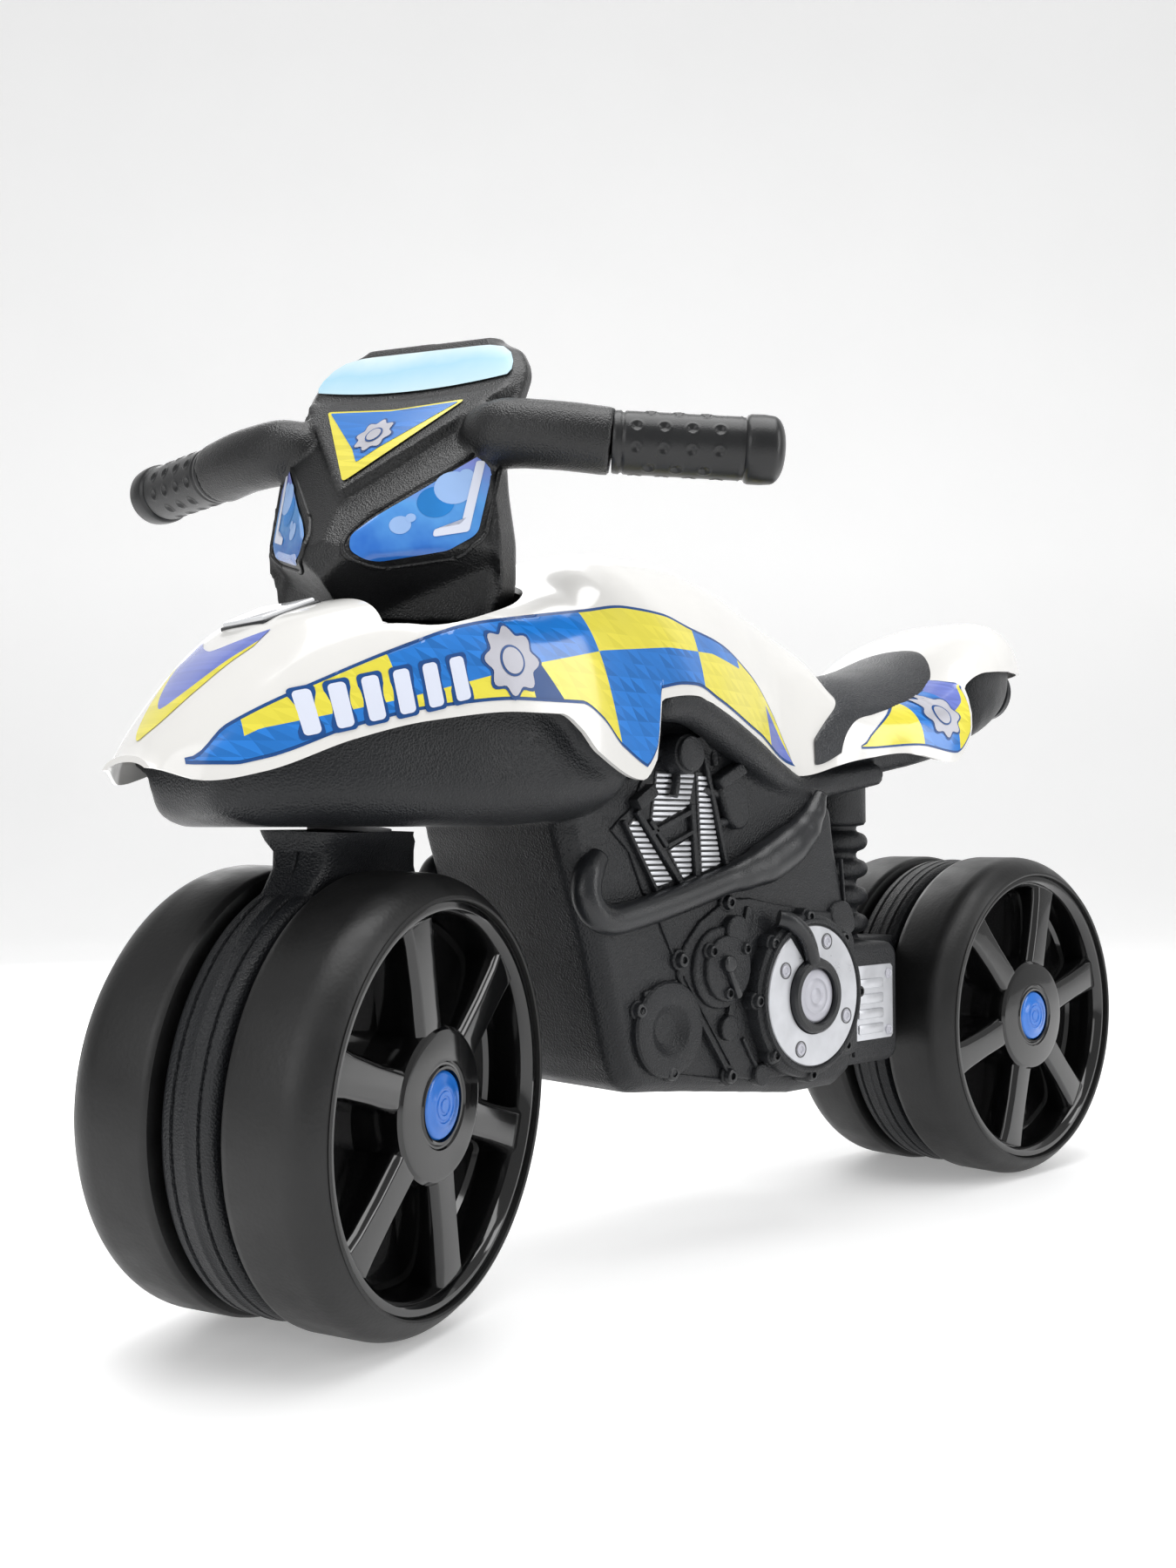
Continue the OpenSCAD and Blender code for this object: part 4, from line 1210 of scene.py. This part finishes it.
def rear_frame():
    """The gearbox with its web, and the ridged disc between the rear wheels."""
    box = plate("box", arc(400, 158, 10, 0, 90) + arc(360, 158, 10, 90, 180) + arc(360, 102, 10, 180, 270)
                + arc(400, 102, 10, 270, 360), -49, 49, BLACK, world, 5, 4)
    web = plate("web", [(395, 168), (470, 168), (490, 150), (490, 100), (470, 94), (395, 94)], -DISC_HALF,
                DISC_HALF,
                BLACK, world, 4, 3)
    disc = wheel_disc(world, (0, WHEELBASE, WHEEL_RADIUS))
    piece = join("rear_fork_moulding", [box, web, disc])
    crease(piece, 35)
    place(piece, "frame", "body_black", "rear_fork")


def wheel_disc(to_world, centre):
    """The round mudguard disc with its parting ridge and stepped grooves."""
    h, r = DISC_HALF, DISC_RADIUS
    half = [(0, h + 3), (19, h + 3), (20, h), (r - 14, h), (r - 4, h), (r - 1.6, h - 1.0), (r - 0.4, h - 3),
            (r, h - 6.2), (r - 1.4, h - 6.9), (r - 1.4, h - 8.0), (r, h - 8.6), (r, 1.3), (r + 0.5, 0.6)]
    profile = half + [(radius, -x) for radius, x in reversed(half)]
    return lathe("disc", profile, BLACK, to_world, 160, centre, "X")


def gearbox_sheet(name, side):
    pieces = [plate("sheet", [(364, 107), (400, 107), (402, 109), (402, 152), (400, 154), (364, 154)], 48,
                    50.2, SILVER,
                    sided(side), 0.5)]
    for z in (114, 123.5, 133, 142.5):
        pieces.append(bar_between((365, z), (391, z), 6.4, 49, 51.4, SILVER, side, 1.2))
    for z in (112, 148):
        screw = [(0, 50.6), (1.6, 50.6), (1.9, 51.1), (2.6, 51.2), (3.2, 50.8), (3.4, 50), (0, 50)]
        pieces.append(turned_on_side("screw", 397, z, screw, BADGE_SILVER, side, 24))
    piece = join("gearbox_sheet_" + name, pieces)
    crease(piece)
    place(piece, "frame", "label_silver", "gearbox_label_" + name)


def shock():
    y, base = 404, 166
    profile = [(0, 0), (19, 0)]
    for i in range(4):
        z = 12 + 18 * i
        profile += [(16.5, z - 8.0), (17.5, z - 6.6)]
        profile += [(18 + 6 * math.sin(a), z - 6 * math.cos(a)) for a in spread(0.25, math.pi - 0.25, 8)]
        profile += [(17.5, z + 6.6), (16.5, z + 8.0)]
    profile += [(17, 76), (21.5, 77), (23, 79), (23, 111), (0, 111)]
    piece = lathe("shock_bellows", profile, BLACK, world, 72, (0, y, base), "Z")
    crease(piece, 50)
    place(piece, "frame", "body_black", "shock_absorber")


def tail_lamp():
    """The round plug at the tail."""
    profile = [(0, 16), (10, 16), (12, 15.4), (14.2, 14), (15, 12), (15.2, 10), (18.6, 9.2), (20, 7.6),
               (20, 3.4), (18.6, 2.6),
               (11, 2.4), (10, 0), (0, 0)]
    piece = lathe("tail_lamp_plug", profile, BLACK_SMOOTH, world, 64, (0, 588, 342), "Y")
    crease(piece)
    place(piece, "frame", "lamp_black", "tail_lamp")


# ---- steering head ----

def front_fork():
    """The neck that flares into the disc between the front wheels."""
    to_world = steered
    disc = wheel_disc(to_world, (0, 0, FRONT_Z))
    h = DISC_HALF
    rings = []
    rows = [(172, -84, 98, h), (182, -78, 86, h), (192, -66, 78, h), (203, -50, 71, h),
            (213, -40, 63, h + 0.6),
            (222, -32, 57, h + 1.6), (230, -29, 53, h + 4), (235, -31, 48,
                                                             h + 8), (238, -32, 44, 24), (240, -32, 43, 25)]
    for z, front, rear, half in rows:
        middle, reach = (front + rear) / 2, (rear - front) / 2
        ring = []
        for k in range(64):
            a = 2 * math.pi * k / 64
            c, s = math.cos(a), math.sin(a)
            power = 0.28
            ring.append((half * math.copysign(abs(c) ** power, c),
                         middle + reach * math.copysign(abs(s) ** power, s), z))
        rings.append(ring)
    neck = skin("neck", rings, BLACK, to_world)
    seam = plate("seam", [(-84, 172), (-78.6, 182), (-66.6, 192), (-50.6, 203), (-40.6, 213), (-33, 222),
                          (-31, 230), (-28, 230),
                          (-28, 200), (-60, 172)], -0.7, 0.7, BLACK, to_world, 0.4, 2)
    piece = join("front_fork_moulding", [disc, neck, seam])
    crease(piece, 40)
    place(piece, "steering", "body_black", "front_fork")


MASK_ROWS = [(345, 62, 14, 42, 84), (363, 68, 7, 42, 86), (383, 70, -14, 36, 86), (405, 67, -4, 36, 84),
             (418, 65, 5, 38, 82),
             (441, 63, 28, 44, 80), (459, 66, 49, 58, 84), (475, 66, 62, 68,
                                                            92), (492, 58, 72, 78,
                                                                  98), (503, 42, 82, 86, 98)]


def lamp_plane(x, z):
    return -9 + 0.827 * (abs(x) - 19) + 0.264 * (z - 373)


def mask_front(x, z):
    """How far forward the mask reaches, from its planes: lamps, band, brow, visor and chin."""
    a = abs(x)
    lamp = lamp_plane(x, z)
    band = -14 + 0.727 * (z - 383) + 0.255 * a
    y = max(lamp, band)
    brow = 50 + 0.966 * (z - 461)
    into_brow = ease(((z - 403) * 1.0 - a) / 3.5)
    y = y + (brow - 1.2 - y) * into_brow
    visor = 62.5 + (z - 475) * 0.675
    lip = 466 + 4.5 * (a / 60) ** 2
    y = y + (visor - y) * ease((z - lip + 2) / 4)
    chin = 369 + 0.22 * a
    if z < chin:
        column = 14 + 28 * (a / 62) ** 1.25
        y = min(y + (chin - z) * 1.7, max(column, y))
    return y


def mask():
    """The mask with both bars, melted into one moulding."""
    columns = [[(row[0], row[k]) for row in MASK_ROWS] for k in range(5)]
    rings = []
    for z in spread(345, 503, 110):
        w = smooth(columns[1], z)
        side, back = smooth(columns[3], z), smooth(columns[4], z)
        ring = []
        for t in spread(1, -1, 96):
            x = w * t
            y = mask_front(x, z)
            y = max(y + (side - y) * ease((abs(t) - 0.88) / 0.12), -16)
            ring.append((x, y, z))
        for a in spread(math.radians(168), math.radians(12), 28):
            ring.append((w * math.cos(a), side + (back - side) * math.sin(a) ** 0.6, z))
        rings.append(ring)
    pieces = [skin("mask_skin", rings, BAR, steered)]
    bar = [(44, 62, 441, 8), (50, 54, 441, 13), (58, 48, 441, 16.5), (68, 45, 441, 17.6),
           (82, 46, 440, 17.2), (98, 50, 438.5, 17),
           (114, 56.5, 436.7, 16.9), (119.8, 58.9, 436, 16.6)]
    for _, side in SIDES:
        pieces.append(sweep("bar", [(side * x, y, z, r) for x, y, z, r in bar], BAR, steered, 48, 5))
    piece = join("handlebar_moulding", pieces)
    melt(piece, 1.7)
    below = skin("below", [[(x, y, z) for x, y in ((-150, -150), (150, -150), (150, 150), (-150, 150))]
                           for z in (150, 235.5)], BAR, on_steer_axis)
    cut_away(piece, below)
    crease(piece, 60)
    place(piece, "steering", "body_black", "handlebar")


def on_mask(x, z, lift):
    """A place on the mask's front, lifted off it."""
    y = mask_front(x, z)
    slope_x = (mask_front(x + 1, z) - mask_front(x - 1, z)) / 2
    slope_z = (mask_front(x, z + 1) - mask_front(x, z - 1)) / 2
    normal = Vector((slope_x, -1, slope_z)).normalized()
    return Vector((x, y, z)) + normal * lift


def mask_sheet(name, outline, centre, lift, material, slot, replaced, patches=()):
    """A printed sheet on the mask: outline and centre are (x, z) places; patches add other inks."""
    sheet = verts, faces, indices = [], [], []
    materials = [material] + [patch[0] for patch in patches]
    layers = [(outline, centre, lift)] + [(shape, middle, lift + over) for _, shape, middle,
                                          over in patches]
    for index, (shape, middle, height) in enumerate(layers):
        fan(sheet, shape, middle, index, lambda x, z: steered(on_mask(x, z, height)), 10)
    piece = mesh_piece(name, verts, faces, materials, indices)
    place(piece, "steering", slot, replaced)


def dense(points, step=4.0):
    """More places along a closed outline of straight lines."""
    out = []
    for i, a in enumerate(points):
        b = points[(i + 1) % len(points)]
        parts = max(int(math.hypot(b[0] - a[0], b[1] - a[1]) / step), 1)
        out += [(a[0] + (b[0] - a[0]) * k / parts, a[1] + (b[1] - a[1]) * k / parts) for k in range(parts)]
    return out


def soften(points, radius, steps=5):
    """Rounds the corners of an outline."""
    out = []
    count = len(points)
    for i in range(count):
        p, a, b = Vector(points[i]), Vector(points[i - 1]), Vector(points[(i + 1) % count])
        r = min(radius, (a - p).length * 0.45, (b - p).length * 0.45)
        start, stop = p + (a - p).normalized() * r, p + (b - p).normalized() * r
        for k in range(steps + 1):
            t = k / steps
            q = start * (1 - t) ** 2 + p * 2 * t * (1 - t) + stop * t * t
            out.append((q.x, q.y))
    return out


def visor_sheet():
    outline = [(x, 471.0 + 5.0 * (x / 58) ** 2) for x in spread(-58, 58, 30)]
    outline += [(59.5, 479), (58.5, 484), (55, 490), (49, 494.5), (40, 496.5)]
    outline += [(x, 496.8) for x in spread(34, -34, 12)]
    outline += [(-40, 496.5), (-49, 494.5), (-55, 490), (-58.5, 484), (-59.5, 479)]
    mask_sheet("visor_print", outline, (0, 484), 0.9, PALE, "label_pale", "visor_label")


def brow_sheet():
    tri = soften([(-42, 461), (0, 458), (42, 461), (0, 412)], 3)
    blue = dense(soften([(-39, 459.5), (0, 457), (39, 459.5), (8, 433), (0, 424), (-8, 433)], 1.5))
    star = []
    for i in range(64):
        a = 2 * math.pi * i / 64
        r = 9.0 * (1 + 0.12 * math.cos(8 * a))
        star.append((r * math.cos(a), 441 + r * math.sin(a)))
    ring, disc = ([(r * math.cos(a), 441 + r * math.sin(a)) for a in spread(0, 2 * math.pi * 47 / 48, 47)]
                  for r in (4.6, 3.7))
    grown = [(x * 1.12, 441 + (z - 441) * 1.12) for x, z in star]
    mask_sheet("brow_print", dense(tri), (0, 448), 0.8, YELLOW, "label_blue", "mask_label",
               patches=((BLUE, blue, (0, 446), 0.2), (INK, grown, (0, 441), 0.35),
                        (BADGE_SILVER, star, (0, 441), 0.6),
                        (INK, ring, (0, 441), 0.8), (BADGE_SILVER, disc, (0, 441), 1.0)))


def headlamp(name, side):
    shape = soften([(60, 432), (63, 424), (61, 388), (52, 380), (22, 371.5), (14, 375), (13, 383),
                    (20, 392)], 4)
    shape = dense([(side * x, z) for x, z in shape], 3.0)
    middle = (side * 42, 398)

    def blob(x, z, r, count=28):
        return [(side * x + r * 0.9 * math.cos(a),
                 z + r * math.sin(a)) for a in spread(0, 2 * math.pi * (count - 1) / count, count - 1)]

    stroke = dense(soften([(side * x, z) for x,
                           z in ((56.0, 426), (59.5, 426), (57.5, 389), (44, 385), (44, 389),
                                 (54, 392.5))], 1.5), 3)
    mask_sheet("headlamp_print_" + name, shape, middle, 0.8, LAMP_BLUE, "label_blue",
               "headlamp_label_" + name,
               patches=((BUBBLE, blob(49, 411, 8.5), (side * 49, 411), 0.2),
                        (LAMP_DEEP, blob(43, 403, 8), (side * 43, 403), 0.15),
                        (BUBBLE, blob(31, 390, 4.6), (side * 31, 390),
                         0.2), (BUBBLE, blob(34.5, 394, 2.2), (side * 34.5, 394), 0.3),
                        (BUBBLE, blob(53, 418, 3.2), (side * 53, 418),
                         0.3), (STROKE, stroke, (side * 55.5, 396), 0.4)))
    run = []
    bead = soften([(61, 435.5), (66, 426), (64, 386), (54, 377), (22, 368.5), (11.5, 373), (10.5, 384),
                   (17, 394.5)], 5)
    points = [(side * x, z) for x, z in bead]
    points.append(points[0])
    for x, z in points:
        p = on_mask(x, z, 0.1)
        run.append((p.x, p.y, p.z, 1.3))
    piece = sweep("headlamp_bead_" + name, run, BAR, steered, 12, 2)
    place(piece, "steering", "body_black")


def grip(name, side):
    """A collared grip with staggered dents and a rounded tip."""
    start, tip = Vector((120, 59, 436)), Vector((198, 94, 433))
    way = (tip - start).normalized()
    across = way.cross(Vector((0, 0, 1))).normalized()
    up = across.cross(way)
    long = (tip - start).length
    profile = [(11, -0.2), (15.2, 0), (15.7, 0.8), (15.7, 3.4), (14.9, 4.2), (14.9, 5.0), (15.7, 5.8)]
    profile += [(15.7, s) for s in spread(6.6, 62, 92)]
    profile += [(15.9, 63), (15.3, 64), (15.3, 65), (16.6, 66), (17.2, 67.6), (17.2, 74), (16.8, 78)]
    profile += [(16.8 * math.cos(a) ** 0.8 if a < 1.5 else 0,
                 78 + (long - 78) * math.sin(a)) for a in spread(0.15, math.pi / 2, 10)]
    steps = 132
    dents = []
    for row in range(9):
        for k in range(4 if row % 2 == 0 else 3):
            dents.append((11.5 + 13.6 * k + (6.8 if row % 2 else 0), 2 * math.pi * row / 9 + 0.35))
    rings = []
    for r, s in profile:
        ring = []
        for k in range(steps):
            a = 2 * math.pi * k / steps
            radius = r
            if 6 < s < 62.5:
                for ds, da in dents:
                    turn = (a - da + math.pi) % (2 * math.pi) - math.pi
                    gap = math.hypot(s - ds, turn * r)
                    if gap < 3.6:
                        radius -= 1.1 * (1 - ease(gap / 2.9)) - 0.35 * math.exp(-((gap - 3.0) / 0.5) ** 2)
            p = start + way * s + across * (radius * math.cos(a)) + up * (radius * math.sin(a))
            ring.append((side * p.x, p.y, p.z))
        rings.append(ring)
    piece = skin("grip_moulding_" + name, rings, GRIP, steered)
    crease(piece, 50)
    place(piece, "steering", "body_black", "grip_" + name)


# ---- wheels ----

def tyre(name, side, to_world, centre, body, node):
    """A flat tread with a rounded outer shoulder, and the tyre's inner wall."""
    cr, cx = WHEEL_RADIUS - SHOULDER_RADIUS, SHOULDER_X
    profile = [(100, TYRE_INNER), (WHEEL_RADIUS - 4.5, TYRE_INNER), (WHEEL_RADIUS - 1.6, TYRE_INNER + 0.8),
               (WHEEL_RADIUS - 0.4, TYRE_INNER + 2.4), (WHEEL_RADIUS, TYRE_INNER + 5)]
    profile += [(cr + SHOULDER_RADIUS * math.sin(a), cx + SHOULDER_RADIUS * math.cos(a))
                for a in spread(math.pi / 2, math.radians(30), 16)]
    profile += [(99.8, TYRE_OUTER - 0.4), (98.6, TYRE_OUTER), (FACE_RADIUS + 0.1, TYRE_OUTER - 0.5),
                (FACE_RADIUS, TYRE_OUTER - 2), (FACE_RADIUS,
                                                TYRE_INNER + 4), (11, TYRE_INNER + 4), (11, TYRE_INNER)]
    profile.append((60, TYRE_INNER))
    flipped = [(r, side * along) for r, along in profile]
    piece = lathe(name, flipped, TYRE, to_world, 192, centre, "X")
    crease(piece, 35)
    place(piece, body, "tyre_black", node)


def wheel_face(name, side, to_world, centre, body, node, turn):
    """Rim, deep back wall, six bevelled spokes and the hub disc."""
    back, out = 41.0, FACE_OUT
    rim = [(FACE_RADIUS - 0.2, back - 3), (FACE_RADIUS - 0.2, out), (FACE_RADIUS - 1.6, out + 0.6),
           (FACE_RADIUS - 4.4, out + 0.3),
           (FACE_RADIUS - 6.6, out - 1.6), (FACE_RADIUS - 8.2,
                                            out - 5), (FACE_RADIUS - 9.4,
                                                       back + 2), (FACE_RADIUS - 12, back),
           (12, back), (12, back - 3)]
    hub = [(12.5, back), (HUB_RADIUS + 3, back), (HUB_RADIUS + 1, out - 9), (HUB_RADIUS - 0.4, out - 2.6),
           (HUB_RADIUS - 2.2, out - 0.8),
           (HUB_RADIUS - 4.2, out - 0.3), (CAP_RADIUS + 6.0, out), (CAP_RADIUS + 4.4,
                                                                    out + 0.2), (CAP_RADIUS + 3.6, out - 0.7),
           (CAP_RADIUS + 2.6, out - 0.7), (CAP_RADIUS + 1.8,
                                           out + 0.2), (CAP_RADIUS + 0.6,
                                                        out), (CAP_RADIUS + 0.3, out - 4), (12.5, out - 4)]
    pieces = [lathe("rim", [(r, side * x) for r, x in rim], GLOSS, to_world, 144, centre, "X"),
              lathe("hub", [(r, side * x) for r, x in hub], GLOSS, to_world, 96, centre, "X")]
    for i in range(6):
        a = math.radians(turn + 60 * i)
        radial, tangent = (math.cos(a), math.sin(a)), (-math.sin(a), math.cos(a))
        rings = []
        for r, half, top in ((HUB_RADIUS - 8, 11.2, out - 2.0), (HUB_RADIUS + 2, 10.6, out - 2.0),
                             (60, 10.4, out - 2.2), (80, 11.2, out - 2.6),
                             (FACE_RADIUS - 9, 12.4, out - 3.0), (FACE_RADIUS - 5, 13.0, out - 3.4)):
            section = [(-half - 1.4, back - 1), (-half, top - 4.4), (-half + 1.0, top - 2.0),
                       (-half + 3.2, top), (half - 3.2, top),
                       (half - 1.0, top - 2.0), (half, top - 4.4), (half + 1.4, back - 1)]
            rings.append([(centre[0] + side * x, centre[1] + radial[0] * r + tangent[0] * w,
                           centre[2] + radial[1] * r + tangent[1] * w)
                          for w, x in section])
        spoke = skin("spoke", rings, GLOSS, to_world)
        round_edges(spoke, 0.9, 3, 20)
        pieces.append(spoke)
    piece = join(name, pieces)
    crease(piece, 30)
    place(piece, body, "wheel_gloss", node)


def hub_cap(name, side, to_world, centre, body, node):
    """A blue cap with three rings; distances are from the outer face of the wheel."""
    profile = [(0, 1.0), (3.0, 1.0), (3.5, 0.5), (4.4, 0.5), (4.9, 1.0), (6.6, 1.0), (7.1, 0.5), (8.0, 0.5),
               (8.5, 1.0), (10.2, 0.9), (10.8, 0.4), (14.2, 0.2), (15.6, -0.3), (16.4, -1.4), (16.5, -3.8),
               (0, -3.8)]
    piece = lathe(name, [(r, side * (FACE_OUT + x)) for r, x in profile], CAP, to_world, 72, centre, "X")
    crease(piece, 40)
    place(piece, body, "cap_blue", node)


def wheels():
    for axle, to_world, centre, turn in (("front", steered, (0, 0, FRONT_Z), 42.0),
                                         ("rear", world, (0, WHEELBASE, WHEEL_RADIUS), 15.0)):
        for name, side in SIDES:
            body = axle + "_wheel_" + name
            tyre(axle + "_tyre_tread_" + name, side, to_world, centre, body, axle + "_tyre_" + name)
            wheel_face(axle + "_spokes_" + name, side, to_world, centre, body,
                       axle + "_wheel_face_" + name, turn)
            hub_cap(axle + "_cap_" + name, side, to_world, centre, body, axle + "_hub_cap_" + name)
            finish_node(axle + "_wheel_bush_" + name, BUSH)


main_body()
seat_pad()
for side_name, side in SIDES:
    timing_plate(side_name, side)
    alternator(side_name, side)
    ignition(side_name, side)
    clutch(side_name, side)
    head_fins(side_name, side)
    head_knob(side_name, side)
    breather(side_name, side)
    exhaust(side_name, side)
    gearbox_sheet(side_name, side)
    headlamp(side_name, side)
    grip(side_name, side)
rear_frame()
shock()
tail_lamp()
front_fork()
mask()
visor_sheet()
brow_sheet()
wheels()
for name in ("rear_axle", "rear_axle_clips", "front_axle", "front_axle_clips", "steering_shaft",
             "steering_collar"):
    finish_node(name, STEEL)
for name in ("steering_bush_lower", "steering_bush_upper"):
    finish_node(name, BUSH)


# ---- floor, light and camera ----

def stage():
    size, rise = 6.0, 40
    verts, faces = [], []
    for i in range(rise + 1):
        a = math.pi / 2 * i / rise
        y, z = 2.4 + 1.0 * math.sin(a), 1.0 - 1.0 * math.cos(a)
        verts += [(-size, y, z), (size, y, z)]
    verts = [(-size, -size, 0), (size, -size, 0)] + verts + [(-size, 3.4, 5), (size, 3.4, 5)]
    count = len(verts) // 2
    for i in range(count - 1):
        faces.append((2 * i, 2 * i + 1, 2 * i + 3, 2 * i + 2))
    material, nodes, links, shader = new_material("pale_floor")
    coords = nodes.new("ShaderNodeTexCoord").outputs["Object"]
    cloud = noise(nodes, links, coords, 3.0)
    tint = ramp(nodes, links, cloud.outputs["Fac"], ((0.3, (0.90, 0.90, 0.90)), (0.7, (0.92, 0.92, 0.92))))
    links.new(tint.outputs["Color"], shader.inputs["Base Color"])
    shader.inputs["Roughness"].default_value = 0.5
    shader.inputs["Emission Color"].default_value = (1, 1, 1, 1)
    shader.inputs["Emission Strength"].default_value = 0.28
    floor = mesh_piece("floor", verts, faces, [material])
    floor.rotation_euler = (0, 0, math.radians(46))


def area_light(name, spot, target, size, power, colour=(1, 1, 1)):
    data = bpy.data.lights.new(name, "AREA")
    data.shape = "RECTANGLE"
    data.size, data.size_y = size
    data.energy = power
    data.color = colour
    lamp = bpy.data.objects.new(name, data)
    lamp.location = spot
    lamp.rotation_euler = (Vector(target) - Vector(spot)).to_track_quat("-Z", "Y").to_euler()
    bpy.context.scene.collection.objects.link(lamp)


def lights():
    area_light("top_box", (0.2, -0.1, 1.9), (0, 0.05, 0.2), (1.6, 1.6), 26)
    area_light("left_strip", (1.6, 0.9, 0.9), (0, 0.1, 0.25), (0.5, 1.6), 10)
    area_light("front_box", (0.3, -1.9, 0.9), (0, -0.1, 0.2), (1.2, 1.2), 7)
    area_light("back_box", (-1.5, 0.9, 1.1), (0, 0.1, 0.3), (1.2, 1.6), 12)
    scene_world = bpy.data.worlds.new("studio")
    scene_world.use_nodes = True
    background = scene_world.node_tree.nodes["Background"]
    background.inputs["Color"].default_value = (1, 1, 1, 1)
    background.inputs["Strength"].default_value = 0.42
    bpy.context.scene.world = scene_world


CAMERA_LENS = 36.72
CAMERA_PLACE = (0.6829, -0.7178, 0.2383)
CAMERA_TURN = (91.76, 0.24, 46.44)


def camera():
    data = bpy.data.cameras.new("camera")
    data.sensor_width = 36
    data.lens = CAMERA_LENS
    data.clip_end = 50
    eye = bpy.data.objects.new("camera", data)
    eye.location = CAMERA_PLACE
    eye.rotation_euler = [math.radians(a) for a in CAMERA_TURN]
    bpy.context.scene.collection.objects.link(eye)
    bpy.context.scene.camera = eye


stage()
lights()
camera()
bpy.context.scene.view_settings.view_transform = "Standard"
